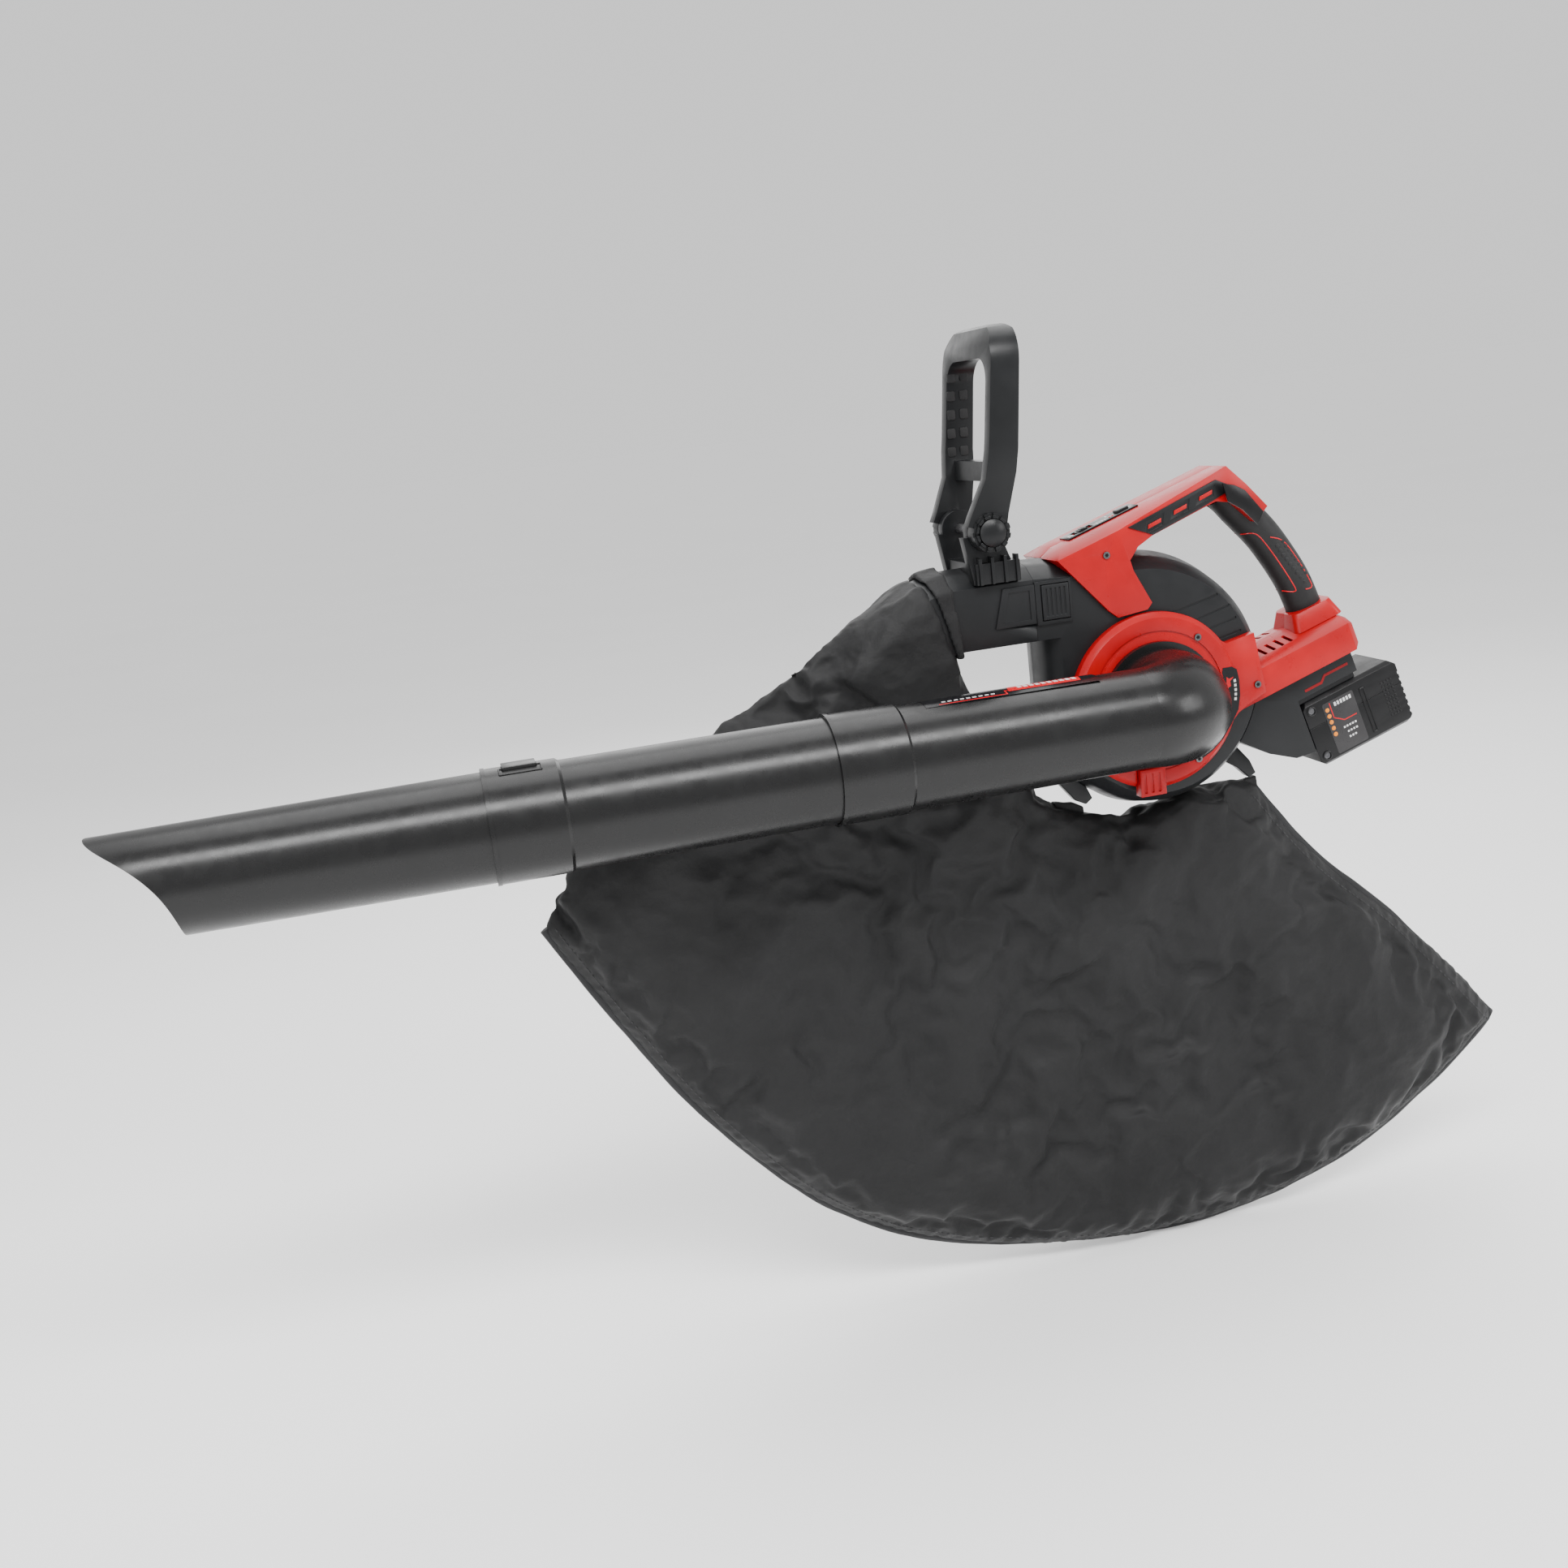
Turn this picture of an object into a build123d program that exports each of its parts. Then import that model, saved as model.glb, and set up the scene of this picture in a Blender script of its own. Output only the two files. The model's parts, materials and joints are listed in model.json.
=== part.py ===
from build123d import *
import os
from math import cos, radians, sin

# Cordless leaf blower and vacuum.  All sizes are in millimetres.
# Working frame: the fan axis is the line X = Z = 0 and runs along +Y, from the intake side to the motor side.
# +X points to the battery end, -X along the suction tube, +Z is up.  Every part is moved at export
# so that the centre of the rear hand grip becomes the origin.

GRIP_CENTRE = (186.0, 60.0, 123.0)
WALL = 2.5
SKIN = 0.3                       # gap left between a moulding and what it is fitted round
SPLIT = 0.1                      # half of the gap between two housing halves
MID_Y = 60.0                     # parting plane of the housings
NEAR_Y = 15.0                    # flat face of the fan housing on the intake side
FAR_Y = 2 * MID_Y - NEAR_Y
SLOPE = radians(18.0)            # rise of the handle, the arm and the battery towards the rear

# Suction tubes
TUBE_Y = -85.0
TUBE_Z = 4.0
TUBE_R = 52.6
TIP_R = 50.4
BORE_R = 48.0
COLLAR_R = 54.9
BEAD_R = 55.8
SOCKET_R = TUBE_R + 0.35
TIP_X = -1078.0
COLLAR_1 = (-720.0, -647.0)
LOWER_END_X = -656.0
COLLAR_2 = (-389.0, -316.0)
MIDDLE_END_X = -325.0
ELBOW_BEND = 60.0
ELBOW_START_R = 51.0
ELBOW_END_R = 59.0
NECK_R = 55.0

# Fan housing
SCROLL_R = 117.0                 # radius where the scroll starts to open
SCROLL_START = 240.0             # degrees
SCROLL_GROWTH = 0.2              # mm per degree
FACE_INSET = 18.0                # how far the flat faces sit inside the middle outline
SHOULDER_INSET = 6.0
SHOULDER_Y = 18.0                # depth of the bevel below the flat face
DUCT_END_X = -125.0
DUCT_TOP = 165.0
DUCT_BOTTOM = 82.0
DUCT_MID = 124.0

# Fan and motor
SHAFT_R = 4.0
SHAFT_BORE_R = 4.05
FAN_R = 86.0
BLADES = 9
MOTOR_R = 32.0

# Lower arm, in the sloping frame
ARM_TOP = -13.0
ARM_BOTTOM = -57.5
ARM_END = 238.0

# Battery, in the sloping frame
PACK_U = (160.0, 282.0)
PACK_V = (-170.0, -92.0)
PACK_Y = (25.0, 95.0)

# Front handle
PIVOT = (-173.0, 203.5)
FOOT_Y = -4.0                    # outer face of the loop's foot, at the pivot
LOOP_Y = -16.0                   # outer face of the loop higher up
ARM_THICK = 15.0
LOOP_TOP = 409.0
WINDOW_TOP = 377.0
PIVOT_R = 5.0
BOSS_R = 20.0


# ---------------------------------------------------------------- shape helpers

def across(y):
    """The X-Z plane at depth y, with the outline seen from the intake side."""
    return Plane(origin=(0, y, 0), x_dir=(1, 0, 0), z_dir=(0, -1, 0))


def outline(points):
    return Polygon(*points, align=None)


def slab(face, y_low, y_high):
    """An X-Z outline made solid between two depths."""
    return extrude(across(y_high) * face, amount=y_high - y_low, dir=(0, -1, 0))


def tilt(u, v):
    """A point of the sloping frame as (X, Z)."""
    return (u * cos(SLOPE) - v * sin(SLOPE), u * sin(SLOPE) + v * cos(SLOPE))


def sloped(points):
    return outline([tilt(u, v) for u, v in points])


def sloped_box(u_low, u_high, y_low, y_high, v_low, v_high):
    corners = [(u_low, v_low), (u_high, v_low), (u_high, v_high), (u_low, v_high)]
    return slab(sloped(corners), y_low, y_high)


def block(x_low, x_high, y_low, y_high, z_low, z_high):
    centre = ((x_low + x_high) / 2, (y_low + y_high) / 2, (z_low + z_high) / 2)
    return Pos(*centre) * Box(x_high - x_low, y_high - y_low, z_high - z_low)


def drum(x, z, radius, y_low, y_high):
    return slab(Pos(x, z) * Circle(radius), y_low, y_high)


def drum_sloped(u, v, radius, y_low, y_high):
    x, z = tilt(u, v)
    return drum(x, z, radius, y_low, y_high)


def spun(points):
    """A profile of (radius, Y) turned about the fan axis."""
    return revolve(outline(points), axis=Axis.Y)


def tube_turned(points):
    """A profile of (X, radius) turned about the suction tube's axis."""
    centre = (0, TUBE_Y, TUBE_Z)
    plane = Plane(origin=centre, x_dir=(1, 0, 0), z_dir=(0, -1, 0))
    return revolve(plane * outline(points), axis=Axis(centre, (1, 0, 0)))


def along_slope(face, u_low, u_high):
    """A (Y, v) outline made solid along the slope."""
    x, z = tilt(u_low, 0)
    plane = Plane(origin=(x, 0, z), x_dir=(0, 1, 0), z_dir=(cos(SLOPE), 0, sin(SLOPE)))
    return extrude(plane * face, amount=u_high - u_low, dir=(cos(SLOPE), 0, sin(SLOPE)))


def up_slope(face, v_low, v_high):
    """A (u, Y) outline made solid square to the slope."""
    x, z = tilt(0, v_low)
    plane = Plane(origin=(x, 0, z), x_dir=(cos(SLOPE), 0, sin(SLOPE)), z_dir=(sin(SLOPE), 0, -cos(SLOPE)))
    flipped = mirror(face, about=Plane.XZ)
    return extrude(plane * flipped, amount=v_high - v_low, dir=(-sin(SLOPE), 0, cos(SLOPE)))


def mirrored(solid):
    """The same part on the other side of the parting plane."""
    return mirror(solid, about=Plane(origin=(0, MID_Y, 0), z_dir=(0, 1, 0)))


def near_half(solid):
    return solid & block(-900, 900, -300, MID_Y - SPLIT, -900, 900)


def far_half(solid):
    return solid & block(-900, 900, MID_Y + SPLIT, 400, -900, 900)


# ---------------------------------------------------------------- fan housing and duct

def scroll_radius(angle, inset):
    return SCROLL_R + SCROLL_GROWTH * max(0.0, angle - SCROLL_START) - inset


def scroll_point(angle, inset):
    radius = scroll_radius(angle, inset)
    return (radius * cos(radians(angle)), radius * sin(radians(angle)))


def scroll_outline(inset, under, end_x=DUCT_END_X):
    """The scroll and its duct as a flat outline, drawn in by inset and from below by under."""
    floor = DUCT_BOTTOM + under
    arc = ThreePointArc(
        scroll_point(180, inset),
        scroll_point((180 + SCROLL_START) / 2, inset),
        scroll_point(SCROLL_START, inset),
    )
    spiral = Spline(*[scroll_point(angle, inset) for angle in range(240, 451, 30)])
    top = Line(spiral @ 1, (end_x, DUCT_TOP - inset))
    end = Line(top @ 1, (end_x, floor))
    bottom = Line(end @ 1, ((arc @ 0).X, floor))
    wall = Line(bottom @ 1, arc @ 0)
    return make_face(Curve() + [arc, spiral, top, end, bottom, wall])


def scroll_side(inset, under, face_y, end_x=DUCT_END_X):
    """One side of the scroll, from the parting plane to its flat face at face_y."""
    shoulder_y = NEAR_Y + SHOULDER_Y
    levels = [(MID_Y, 0.0), (shoulder_y, SHOULDER_INSET), (face_y, FACE_INSET)]
    faces = [across(y) * scroll_outline(step + inset, under, end_x) for y, step in levels]
    return loft([faces[0], faces[1]], ruled=True) + loft([faces[1], faces[2]], ruled=True)


scroll_near_outer = scroll_side(0, 0, NEAR_Y)
scroll_near_inner = scroll_side(WALL, WALL, NEAR_Y + WALL, DUCT_END_X - 5)
scroll_near_clear = scroll_side(-SKIN, -SKIN, NEAR_Y - SKIN)
scroll_clear = scroll_near_clear + mirrored(scroll_near_clear)

LATCH_X = (-118.0, -88.0)
LATCH_Z = (103.0, 140.0)


def latch_pocket(gap):
    return block(LATCH_X[0] - gap, LATCH_X[1] + gap, 0, NEAR_Y + 8, LATCH_Z[0] - gap, LATCH_Z[1] + gap)


latch_rim = slab(outline([(-124.8, 98), (-124.8, 144), (-85, 144), (-85, 98)]), NEAR_Y - 2.5, NEAR_Y + 1)
shell = scroll_near_outer - scroll_near_inner + latch_rim - latch_pocket(0.8)

GROOVES = [((27, 90), (83, 103)), ((51, 78), (96, 89.5)), ((65, 65.5), (103, 75)), ((75, 52.5), (108, 60)),
           ((86, 38), (110, 44.5))]
volute_near = near_half(shell) - drum(0, 0, NECK_R + 3, 0, 30)
for (x_a, z_a), (x_b, z_b) in GROOVES:
    groove = outline([(x_a, z_a - 1.3), (x_b, z_b - 1.3), (x_b, z_b + 1.3), (x_a, z_a + 1.3)])
    volute_near -= slab(groove, NEAR_Y - 1, NEAR_Y + 1.2)
for angle in range(22, 59, 6):
    rib_x, rib_z = scroll_point(angle, 0)
    volute_near -= slab(Pos(rib_x, rib_z) * Rot(0, 0, angle) * Rectangle(3.0, 4.0), 38, 56)

cup = spun([(36, 62), (36, FAR_Y), (38.5, FAR_Y), (38.5, 59.5 + SPLIT), (12, 59.5 + SPLIT), (12, 62)])
volute_far = far_half(mirrored(shell) + far_half(cup)) - drum(0, 0, 36, 62, 120)
volute_far -= drum(0, 0, 11.2, 50, 70)

# ---------------------------------------------------------------- outlet elbow

DUCT_SECTION = [(-45, -42), (-45, 23), (-27, 35), (0, 41), (27, 35), (45, 23), (45, -42)]
BEND_X = -205.0
BEND_R = 80.0
BEND_ANGLE = 45.0
SPIGOT = 30.0


def on_bend(angle):
    turn = radians(angle)
    return (BEND_X - BEND_R * sin(turn), DUCT_MID - BEND_R + BEND_R * cos(turn))


def bent_duct(grow, start_angle, beyond, straight_from=None, end_angle=BEND_ANGLE):
    """The duct's section swept round the bend, and on past its end if beyond is not zero."""
    end = on_bend(end_angle)
    turn = radians(end_angle)
    last = (end[0] - beyond * cos(turn), end[1] - beyond * sin(turn))
    edges = [ThreePointArc(on_bend(start_angle), on_bend((start_angle + end_angle) / 2), end)]
    if beyond:
        edges.append(Line(end, last))
    first = on_bend(start_angle)
    if straight_from is not None:
        first = (straight_from, DUCT_MID)
        edges = [Line(first, (BEND_X, DUCT_MID))] + edges
    path = across(MID_Y) * Wire(Curve() + edges)
    lead = radians(start_angle)
    plane = Plane(origin=(first[0], MID_Y, first[1]), x_dir=(0, -1, 0), z_dir=(-cos(lead), 0, -sin(lead)))
    section = outline(DUCT_SECTION)
    if grow:
        section = offset(section, amount=grow, kind=Kind.INTERSECTION)
    return sweep(plane * section, path=path)


elbow_outer = bent_duct(0, 0, SPIGOT, DUCT_END_X - 0.2)
outlet_elbow = elbow_outer - bent_duct(-WALL, 0, SPIGOT + 1, DUCT_END_X + 1)
plate_outline = outline([(-171, 101), (-160, 142), (-125.4, 142), (-125.4, 101)])
plate_recess = outline([(-162, 106), (-154, 137), (-131, 137), (-131, 106)])
latch_plate = slab(plate_outline, NEAR_Y - 2.5, NEAR_Y + 1) - slab(plate_recess, 0, NEAR_Y - 1)
outlet_elbow += latch_plate + mirrored(latch_plate)

latch = block(LATCH_X[0], LATCH_X[1], NEAR_Y - 4, NEAR_Y + 3.5, LATCH_Z[0], LATCH_Z[1])
for step in range(5):
    rib_x = LATCH_X[0] + 5 + 5 * step
    latch -= block(rib_x - 0.9, rib_x + 0.9, 0, NEAR_Y - 2.8, LATCH_Z[0] + 4, LATCH_Z[1] - 4)

# ---------------------------------------------------------------- front handle

EAR_Y = (FOOT_Y + ARM_THICK + 1.5, 26.0)
ear = outline([(-190, 150), (-198, 200), (-158, 200), (-140, 150)])
ears = slab(ear, *EAR_Y) + drum(PIVOT[0], PIVOT[1], BOSS_R, *EAR_Y)
ears += mirrored(ears)
bracket = ears + block(-189, -141, 6, 114, 150, 172)
for rib_x in (-185, -172, -158, -145):
    rib = block(rib_x - 1.6, rib_x + 1.6, 2, EAR_Y[0], 150, 178)
    bracket += rib + mirrored(rib)
bracket -= bent_duct(0.1, 0, SPIGOT, DUCT_END_X - 0.2)
bracket -= drum(PIVOT[0], PIVOT[1], PIVOT_R, 0, 130)

side_view = outline([
    (-197, 212), (-176, 258), (-170, 300), (-160, 390), (-154, 406), (-147, LOOP_TOP), (-134, LOOP_TOP),
    (-129, 403), (-131, 380), (-139, 300), (-143, 262), (-157, 200)])


def loop_view(foot, side, top, corner):
    """The front handle's outline from the front, narrower at its foot; side is the near edge's Y."""
    points = [
        (foot, 180), (foot, 222), (side, 285), (side, top), (2 * MID_Y - side, top), (2 * MID_Y - side, 285),
        (2 * MID_Y - foot, 222), (2 * MID_Y - foot, 180)]
    edges = FilletPolyline(*points[2:6], radius=corner)
    legs = [Line(points[0], points[1]), Line(points[1], points[2]), edges, Line(points[5], points[6]),
            Line(points[6], points[7]), Line(points[7], points[0])]
    return Plane.YZ * make_face(Curve() + legs)


loop_front = Pos(-250, 0, 0) * extrude(loop_view(FOOT_Y, LOOP_Y, LOOP_TOP, 40), amount=200, dir=(1, 0, 0))
window = loop_view(FOOT_Y + ARM_THICK, LOOP_Y + ARM_THICK, WINDOW_TOP, 24)
loop_front -= Pos(-260, 0, 0) * extrude(window, amount=220, dir=(1, 0, 0))
loop = slab(side_view, LOOP_Y - 5, 2 * MID_Y - LOOP_Y + 5) & loop_front
cross_bar = slab(outline([(-166, 254), (-164, 274), (-150, 274), (-152, 254)]), 0, 120)
boss = drum(PIVOT[0], PIVOT[1], BOSS_R, FOOT_Y, FOOT_Y + ARM_THICK)
ring = drum(PIVOT[0], PIVOT[1], BOSS_R, FOOT_Y - 4, FOOT_Y)
for step in range(12):
    notch = Pos(PIVOT[0], PIVOT[1]) * Rot(0, 0, 30 * step) * Pos(BOSS_R - 1, 0) * Rectangle(4, 5)
    ring -= slab(notch, FOOT_Y - 10, FOOT_Y - 1)
front_handle = loop + cross_bar + boss + mirrored(boss) + ring + mirrored(ring)
KNOB_R = 14.0
knob_well = drum(PIVOT[0], PIVOT[1], KNOB_R + 0.5, FOOT_Y - 20, FOOT_Y + 8)
front_handle -= knob_well + mirrored(knob_well)
front_handle -= drum(PIVOT[0], PIVOT[1], PIVOT_R + 0.06, FOOT_Y - 20, 2 * MID_Y - FOOT_Y + 20)
pivot_bolt = drum(PIVOT[0], PIVOT[1], PIVOT_R, FOOT_Y + 9, 2 * MID_Y - FOOT_Y - 9)

dome_rise = 4.0
dome_r = (KNOB_R ** 2 + dome_rise ** 2) / (2 * dome_rise)
knob_y = FOOT_Y - 7
dome = Pos(PIVOT[0], knob_y - dome_rise + dome_r, PIVOT[1]) * Sphere(dome_r)
knob = drum(PIVOT[0], PIVOT[1], KNOB_R, knob_y, FOOT_Y + 3.5)
knob += dome & drum(PIVOT[0], PIVOT[1], KNOB_R, knob_y - dome_rise, knob_y + 0.1)

# ---------------------------------------------------------------- intake, suction tubes

lower_tube = tube_turned([
    (TIP_X - 5, BORE_R), (TIP_X - 5, TIP_R), (COLLAR_1[0] - 3, TUBE_R), (LOWER_END_X, TUBE_R),
    (LOWER_END_X, BORE_R)])
cut_edge = Spline((-1079, 60), (-1071, 54), (-1040, 34), (-1010, 2), (-1001, -24), (-1001, -56))
cut_back = Polyline(cut_edge @ 1, (-1120, -56), (-1120, 60), cut_edge @ 0)
mouth_cut = make_face(Curve() + [cut_edge, cut_back])
lower_tube -= slab(mouth_cut, TUBE_Y - 70, TUBE_Y + 70)


def socket(collar, plug_end):
    """Profile of a tube's socket end, from its lip to the tube behind it."""
    outer = [
        (collar[0], SOCKET_R), (collar[0], BEAD_R), (collar[0] + 4, BEAD_R), (collar[0] + 4, COLLAR_R),
        (collar[1] - 3, COLLAR_R), (collar[1], TUBE_R)]
    inner = [(plug_end + 1, TUBE_R - WALL), (plug_end + 1, SOCKET_R)]
    return outer, inner


outer, inner = socket(COLLAR_1, LOWER_END_X)
middle_tube = tube_turned(outer + [(MIDDLE_END_X, TUBE_R), (MIDDLE_END_X, TUBE_R - WALL)] + inner)
outer, inner = socket(COLLAR_2, MIDDLE_END_X)
upper = tube_turned(outer + [(-ELBOW_BEND, ELBOW_START_R), (-ELBOW_BEND, ELBOW_START_R - WALL)] + inner)


def elbow_solid(inset):
    """The bend from the tube to the fan, opening out as it turns."""
    circles = []
    for step in range(7):
        turn = radians(15 * step)
        centre_y = TUBE_Y + ELBOW_BEND * (1 - cos(turn))
        centre = (ELBOW_BEND * (sin(turn) - 1), centre_y, TUBE_Z * (1 - step / 6))
        plane = Plane(origin=centre, x_dir=(0, 0, 1), z_dir=(cos(turn), sin(turn), 0))
        circles.append(plane * Circle(ELBOW_START_R + (ELBOW_END_R - ELBOW_START_R) * step / 6 - inset))
    return loft(circles)


bend = elbow_solid(0) - elbow_solid(WALL)
neck_y = TUBE_Y + ELBOW_BEND
neck = spun([
    (ELBOW_END_R - WALL, neck_y), (ELBOW_END_R, neck_y), (ELBOW_END_R, -7), (65, -7), (65, -0.4),
    (NECK_R, -0.4), (NECK_R, 13), (NECK_R - WALL, 13), (NECK_R - WALL, -3)])
suction_elbow = upper + bend + neck

CATCH_X = (-700.0, -668.0)
catch_hole = block(CATCH_X[0] - 0.6, CATCH_X[1] + 0.6, TUBE_Y - 12.6, TUBE_Y + 12.6, 30, 80)
middle_tube -= catch_hole
lower_tube -= block(CATCH_X[0] - 0.6, CATCH_X[1] + 0.6, TUBE_Y - 12.6, TUBE_Y + 12.6, TUBE_Z + 49, 80)
catch_floor = TUBE_Z + 51.5
tube_catch = block(CATCH_X[0], CATCH_X[1], TUBE_Y - 12, TUBE_Y + 12, catch_floor, TUBE_Z + COLLAR_R + 1.8)

RING_R = 95.5
RING_BORE_R = NECK_R + 3
intake_seal = spun([(NECK_R + 0.3, 5), (NECK_R + 2.6, 5), (NECK_R + 2.6, 11), (NECK_R + 0.3, 11)])
cover_ring = spun([
    (RING_BORE_R, NEAR_Y - SKIN), (RING_BORE_R, 0), (72.5, 0), (72.5, 1.6), (76, 1.6), (76, 0), (90, 0),
    (RING_R, 6), (RING_R, NEAR_Y - SKIN)])
bridge_outline = outline([
    (60, 66), (84, 50), (117, 57), (128, -10), (104, -21.5), (94, -28), (84, -39), (60, -50)])
bridge = slab(bridge_outline, 4, NEAR_Y - SKIN) - drum(0, 0, 84, 0, 30)
lock_pocket = block(-31, 0.5, -20, 9, -112, -70)
intake_lock = block(-30, -0.5, -6, 8, -101, -70.8)
for step in range(3):
    intake_lock -= block(-26 + 8 * step, -23 + 8 * step, -7, -4.6, -97, -76)

# ---------------------------------------------------------------- lower arm

ARM_SECTION = [(12, ARM_BOTTOM), (12, -25.5), (25, -18.5), (60, ARM_TOP), (95, -18.5), (108, -25.5),
               (108, ARM_BOTTOM)]


def on_slope(u, face):
    x, z = tilt(u, 0)
    return Plane(origin=(x, 0, z), x_dir=(0, 1, 0), z_dir=(cos(SLOPE), 0, sin(SLOPE))) * face


def square_on_slope(v, half_u, half_y, centre_u):
    x, z = tilt(centre_u, v)
    plane = Plane(origin=(x, MID_Y, z), x_dir=(cos(SLOPE), 0, sin(SLOPE)), z_dir=(-sin(SLOPE), 0, cos(SLOPE)))
    return plane * RectangleRounded(2 * half_u, 2 * half_y, 8)


arm_face = outline(ARM_SECTION)
arm_nose = offset(arm_face, amount=-5, kind=Kind.INTERSECTION)
arm_hollow = offset(arm_face, amount=-WALL, kind=Kind.INTERSECTION)
arm = along_slope(arm_face, 50, ARM_END)
arm += loft([on_slope(ARM_END, arm_face), on_slope(ARM_END + 7, arm_nose)])
arm -= along_slope(arm_hollow, 49, ARM_END - WALL)
collar = loft([square_on_slope(-17, 30, 30, 218), square_on_slope(2, 24, 23, 219)])
arm += collar - along_slope(arm_hollow, 100, ARM_END)
for step in range(4):
    slot_u = 142 + 11 * step
    for y_low, y_high in ((26, 46), (74, 94)):
        arm -= sloped_box(slot_u, slot_u + 4, y_low, y_high, -24, -8)

# ---------------------------------------------------------------- rear grip

GRIP_LINE = [(118, 206), (136, 184), (160, 157), (180, 128), (197, 98), (207, 73), (213, 56)]
grip_curve = Spline(*GRIP_LINE)
grip_path = across(MID_Y) * Wire([grip_curve])
grip_start = grip_curve % 0


def grip_sweep(half_deep, half_wide):
    plane = Plane(origin=(GRIP_LINE[0][0], MID_Y, GRIP_LINE[0][1]), x_dir=(0, 1, 0),
                  z_dir=(grip_start.X, 0, grip_start.Y))
    return sweep(plane * Ellipse(half_wide, half_deep), path=grip_path)


grip_solid = grip_sweep(20, 17)
grip_clear = grip_sweep(20.2, 17.2)
grip = grip_solid - grip_sweep(5.5, 5.5)
switch_cable = grip_sweep(3.5, 3.5)
arm -= grip_clear

arm_clear = arm - scroll_clear
intake_cover = near_half(arm_clear) + cover_ring + bridge - lock_pocket
arm_far = far_half(arm_clear) - drum(0, 0, 78.6, FAR_Y - 1, 140)

# ---------------------------------------------------------------- handle bar

BAR_TOP = 191.0
BAR_OUTLINE = [
    (-98, 163), tilt(-28, BAR_TOP), tilt(176, BAR_TOP), (132, 214), (157, 187), (141, 172), (116, 196),
    tilt(150, 162), (12, 175), (-6, 166), (-17, 153), (-14, 141.5), (5, 105), (-1, 98.5), (-35, 94.5),
    (-45, 103)]
BAR_SECTION = [(10, 0), (10, 185.5), (30, BAR_TOP), (90, BAR_TOP), (110, 185.5), (110, 0)]
BAR_PLAN = [(-150, 10), (30, 10), (240, 38), (240, 82), (30, 110), (-150, 110)]


def shrunk(points, amount):
    face = outline(points)
    if amount == 0:
        return face
    return offset(face, amount=-amount, kind=Kind.INTERSECTION)


def bar_plan(amount):
    return up_slope(shrunk(BAR_PLAN, amount), 60, 260)


def bar_block(inset):
    body = slab(shrunk(BAR_OUTLINE, inset), -20, 140)
    body &= along_slope(shrunk(BAR_SECTION, inset), -150, 260)
    return body & bar_plan(inset)


PANEL = [(42, 183.5), (158, 183.5), (177, 166), (129, 163.5), (66, 163.5)]
panel = (slab(sloped(PANEL), -20, MID_Y - 5) & bar_plan(-1.6)) - bar_plan(0)
inserts = None
for centre_u in (72, 106, 140):
    window = sloped([(centre_u - 15, 168), (centre_u + 9, 168), (centre_u + 15, 179), (centre_u - 8, 179)])
    low = [(centre_u - 9, 171.5), (centre_u + 8, 171.5)]
    high = [(centre_u + 10, 175.5), (centre_u - 7, 175.5)]
    strip = sloped(low + high)
    panel -= slab(window, -20, MID_Y) & (bar_plan(-3) - bar_plan(-0.8))
    bar = (slab(strip, -20, MID_Y) & bar_plan(-1.5)) - bar_plan(-0.8)
    inserts = bar if inserts is None else inserts + bar

DIAL = (12.0, 184.0)
DIAL_R = 11.0
dial_slot = sloped_box(DIAL[0] - 11.8, DIAL[0] + 11.8, 53, 67, 171, 200)
BUTTON_U = (54.0, 68.0)
button_slot = sloped_box(BUTTON_U[0] - 0.5, BUTTON_U[1] + 0.5, 53.5, 66.5, 180, 200)
bar_shell = bar_block(0) - bar_block(WALL) - scroll_clear - grip_clear - dial_slot - button_slot
SCREWS = [((-43.7, 162.0), 10.0), ((49.0, 62.5), 0.0), ((118.0, 0.0), 4.0), ((41.8, -70.2), 0.0)]
screws = []
screw_holes = []
for (x, z), face_y in SCREWS:
    screws.append(drum(x, z, 3.8, face_y - 1.6, face_y - 0.02) + drum(x, z, 1.9, face_y - 1, face_y + 9))
    screw_holes.append(drum(x, z, 2.1, face_y - 5, face_y + 9.5))
handle_near = near_half(bar_shell) - screw_holes[0]
handle_far = far_half(bar_shell)
for hole in screw_holes[1:]:
    intake_cover -= hole

control_panel = sloped_box(-10, 76, 47, 73, BAR_TOP, BAR_TOP + 1.6) - dial_slot - button_slot
speed_dial = drum_sloped(DIAL[0], DIAL[1], DIAL_R, 55, 65) + drum_sloped(DIAL[0], DIAL[1], 2.5, 51, 69)
for step in range(24):
    angle = radians(15 * step)
    speed_dial -= drum_sloped(DIAL[0] + DIAL_R * cos(angle), DIAL[1] + DIAL_R * sin(angle), 0.7, 50, 70)
dial_cradle = sloped_box(DIAL[0] - 5, DIAL[0] + 5, 49, 52.6, 176, 187)
dial_cradle -= drum_sloped(DIAL[0], DIAL[1], 2.56, 40, 80)
dial_cradle += mirrored(dial_cradle)
dial_cradle += sloped_box(DIAL[0] - 5, DIAL[0] + 5, 49, 71, 170, 172.4)
dial_cradle -= scroll_clear
power_button = sloped_box(BUTTON_U[0], BUTTON_U[1], 54, 66, 184, BAR_TOP + 4.2)
switch_module = sloped_box(48, 74, 50, 70, 168, 180)

# ---------------------------------------------------------------- battery and its dock

dock_outline = sloped([
    (60, -58), (60, -75), (106, -124), (134, -144), (158.5, -148), (158.5, -84.2), (236, -84.2), (236, -58)])
dock = slab(dock_outline, 24, 96)
dock -= slab(offset(dock_outline, amount=-3, kind=Kind.INTERSECTION), 27, 93)
dock -= scroll_clear
rail = sloped_box(160, 234, 30.5, 36.5, -91.6, -84.2) + sloped_box(160, 234, 36.5, 41.5, -91.6, -89.0)
dock_rails = rail + mirrored(rail)
terminals = None
for y in (50, 60, 70):
    blade = sloped_box(158.5, 169, y - 0.4, y + 0.4, -88.2, -85.6)
    terminals = blade if terminals is None else terminals + blade
controller_board = sloped_box(158, 228, 30, 90, -76, -73)

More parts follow.
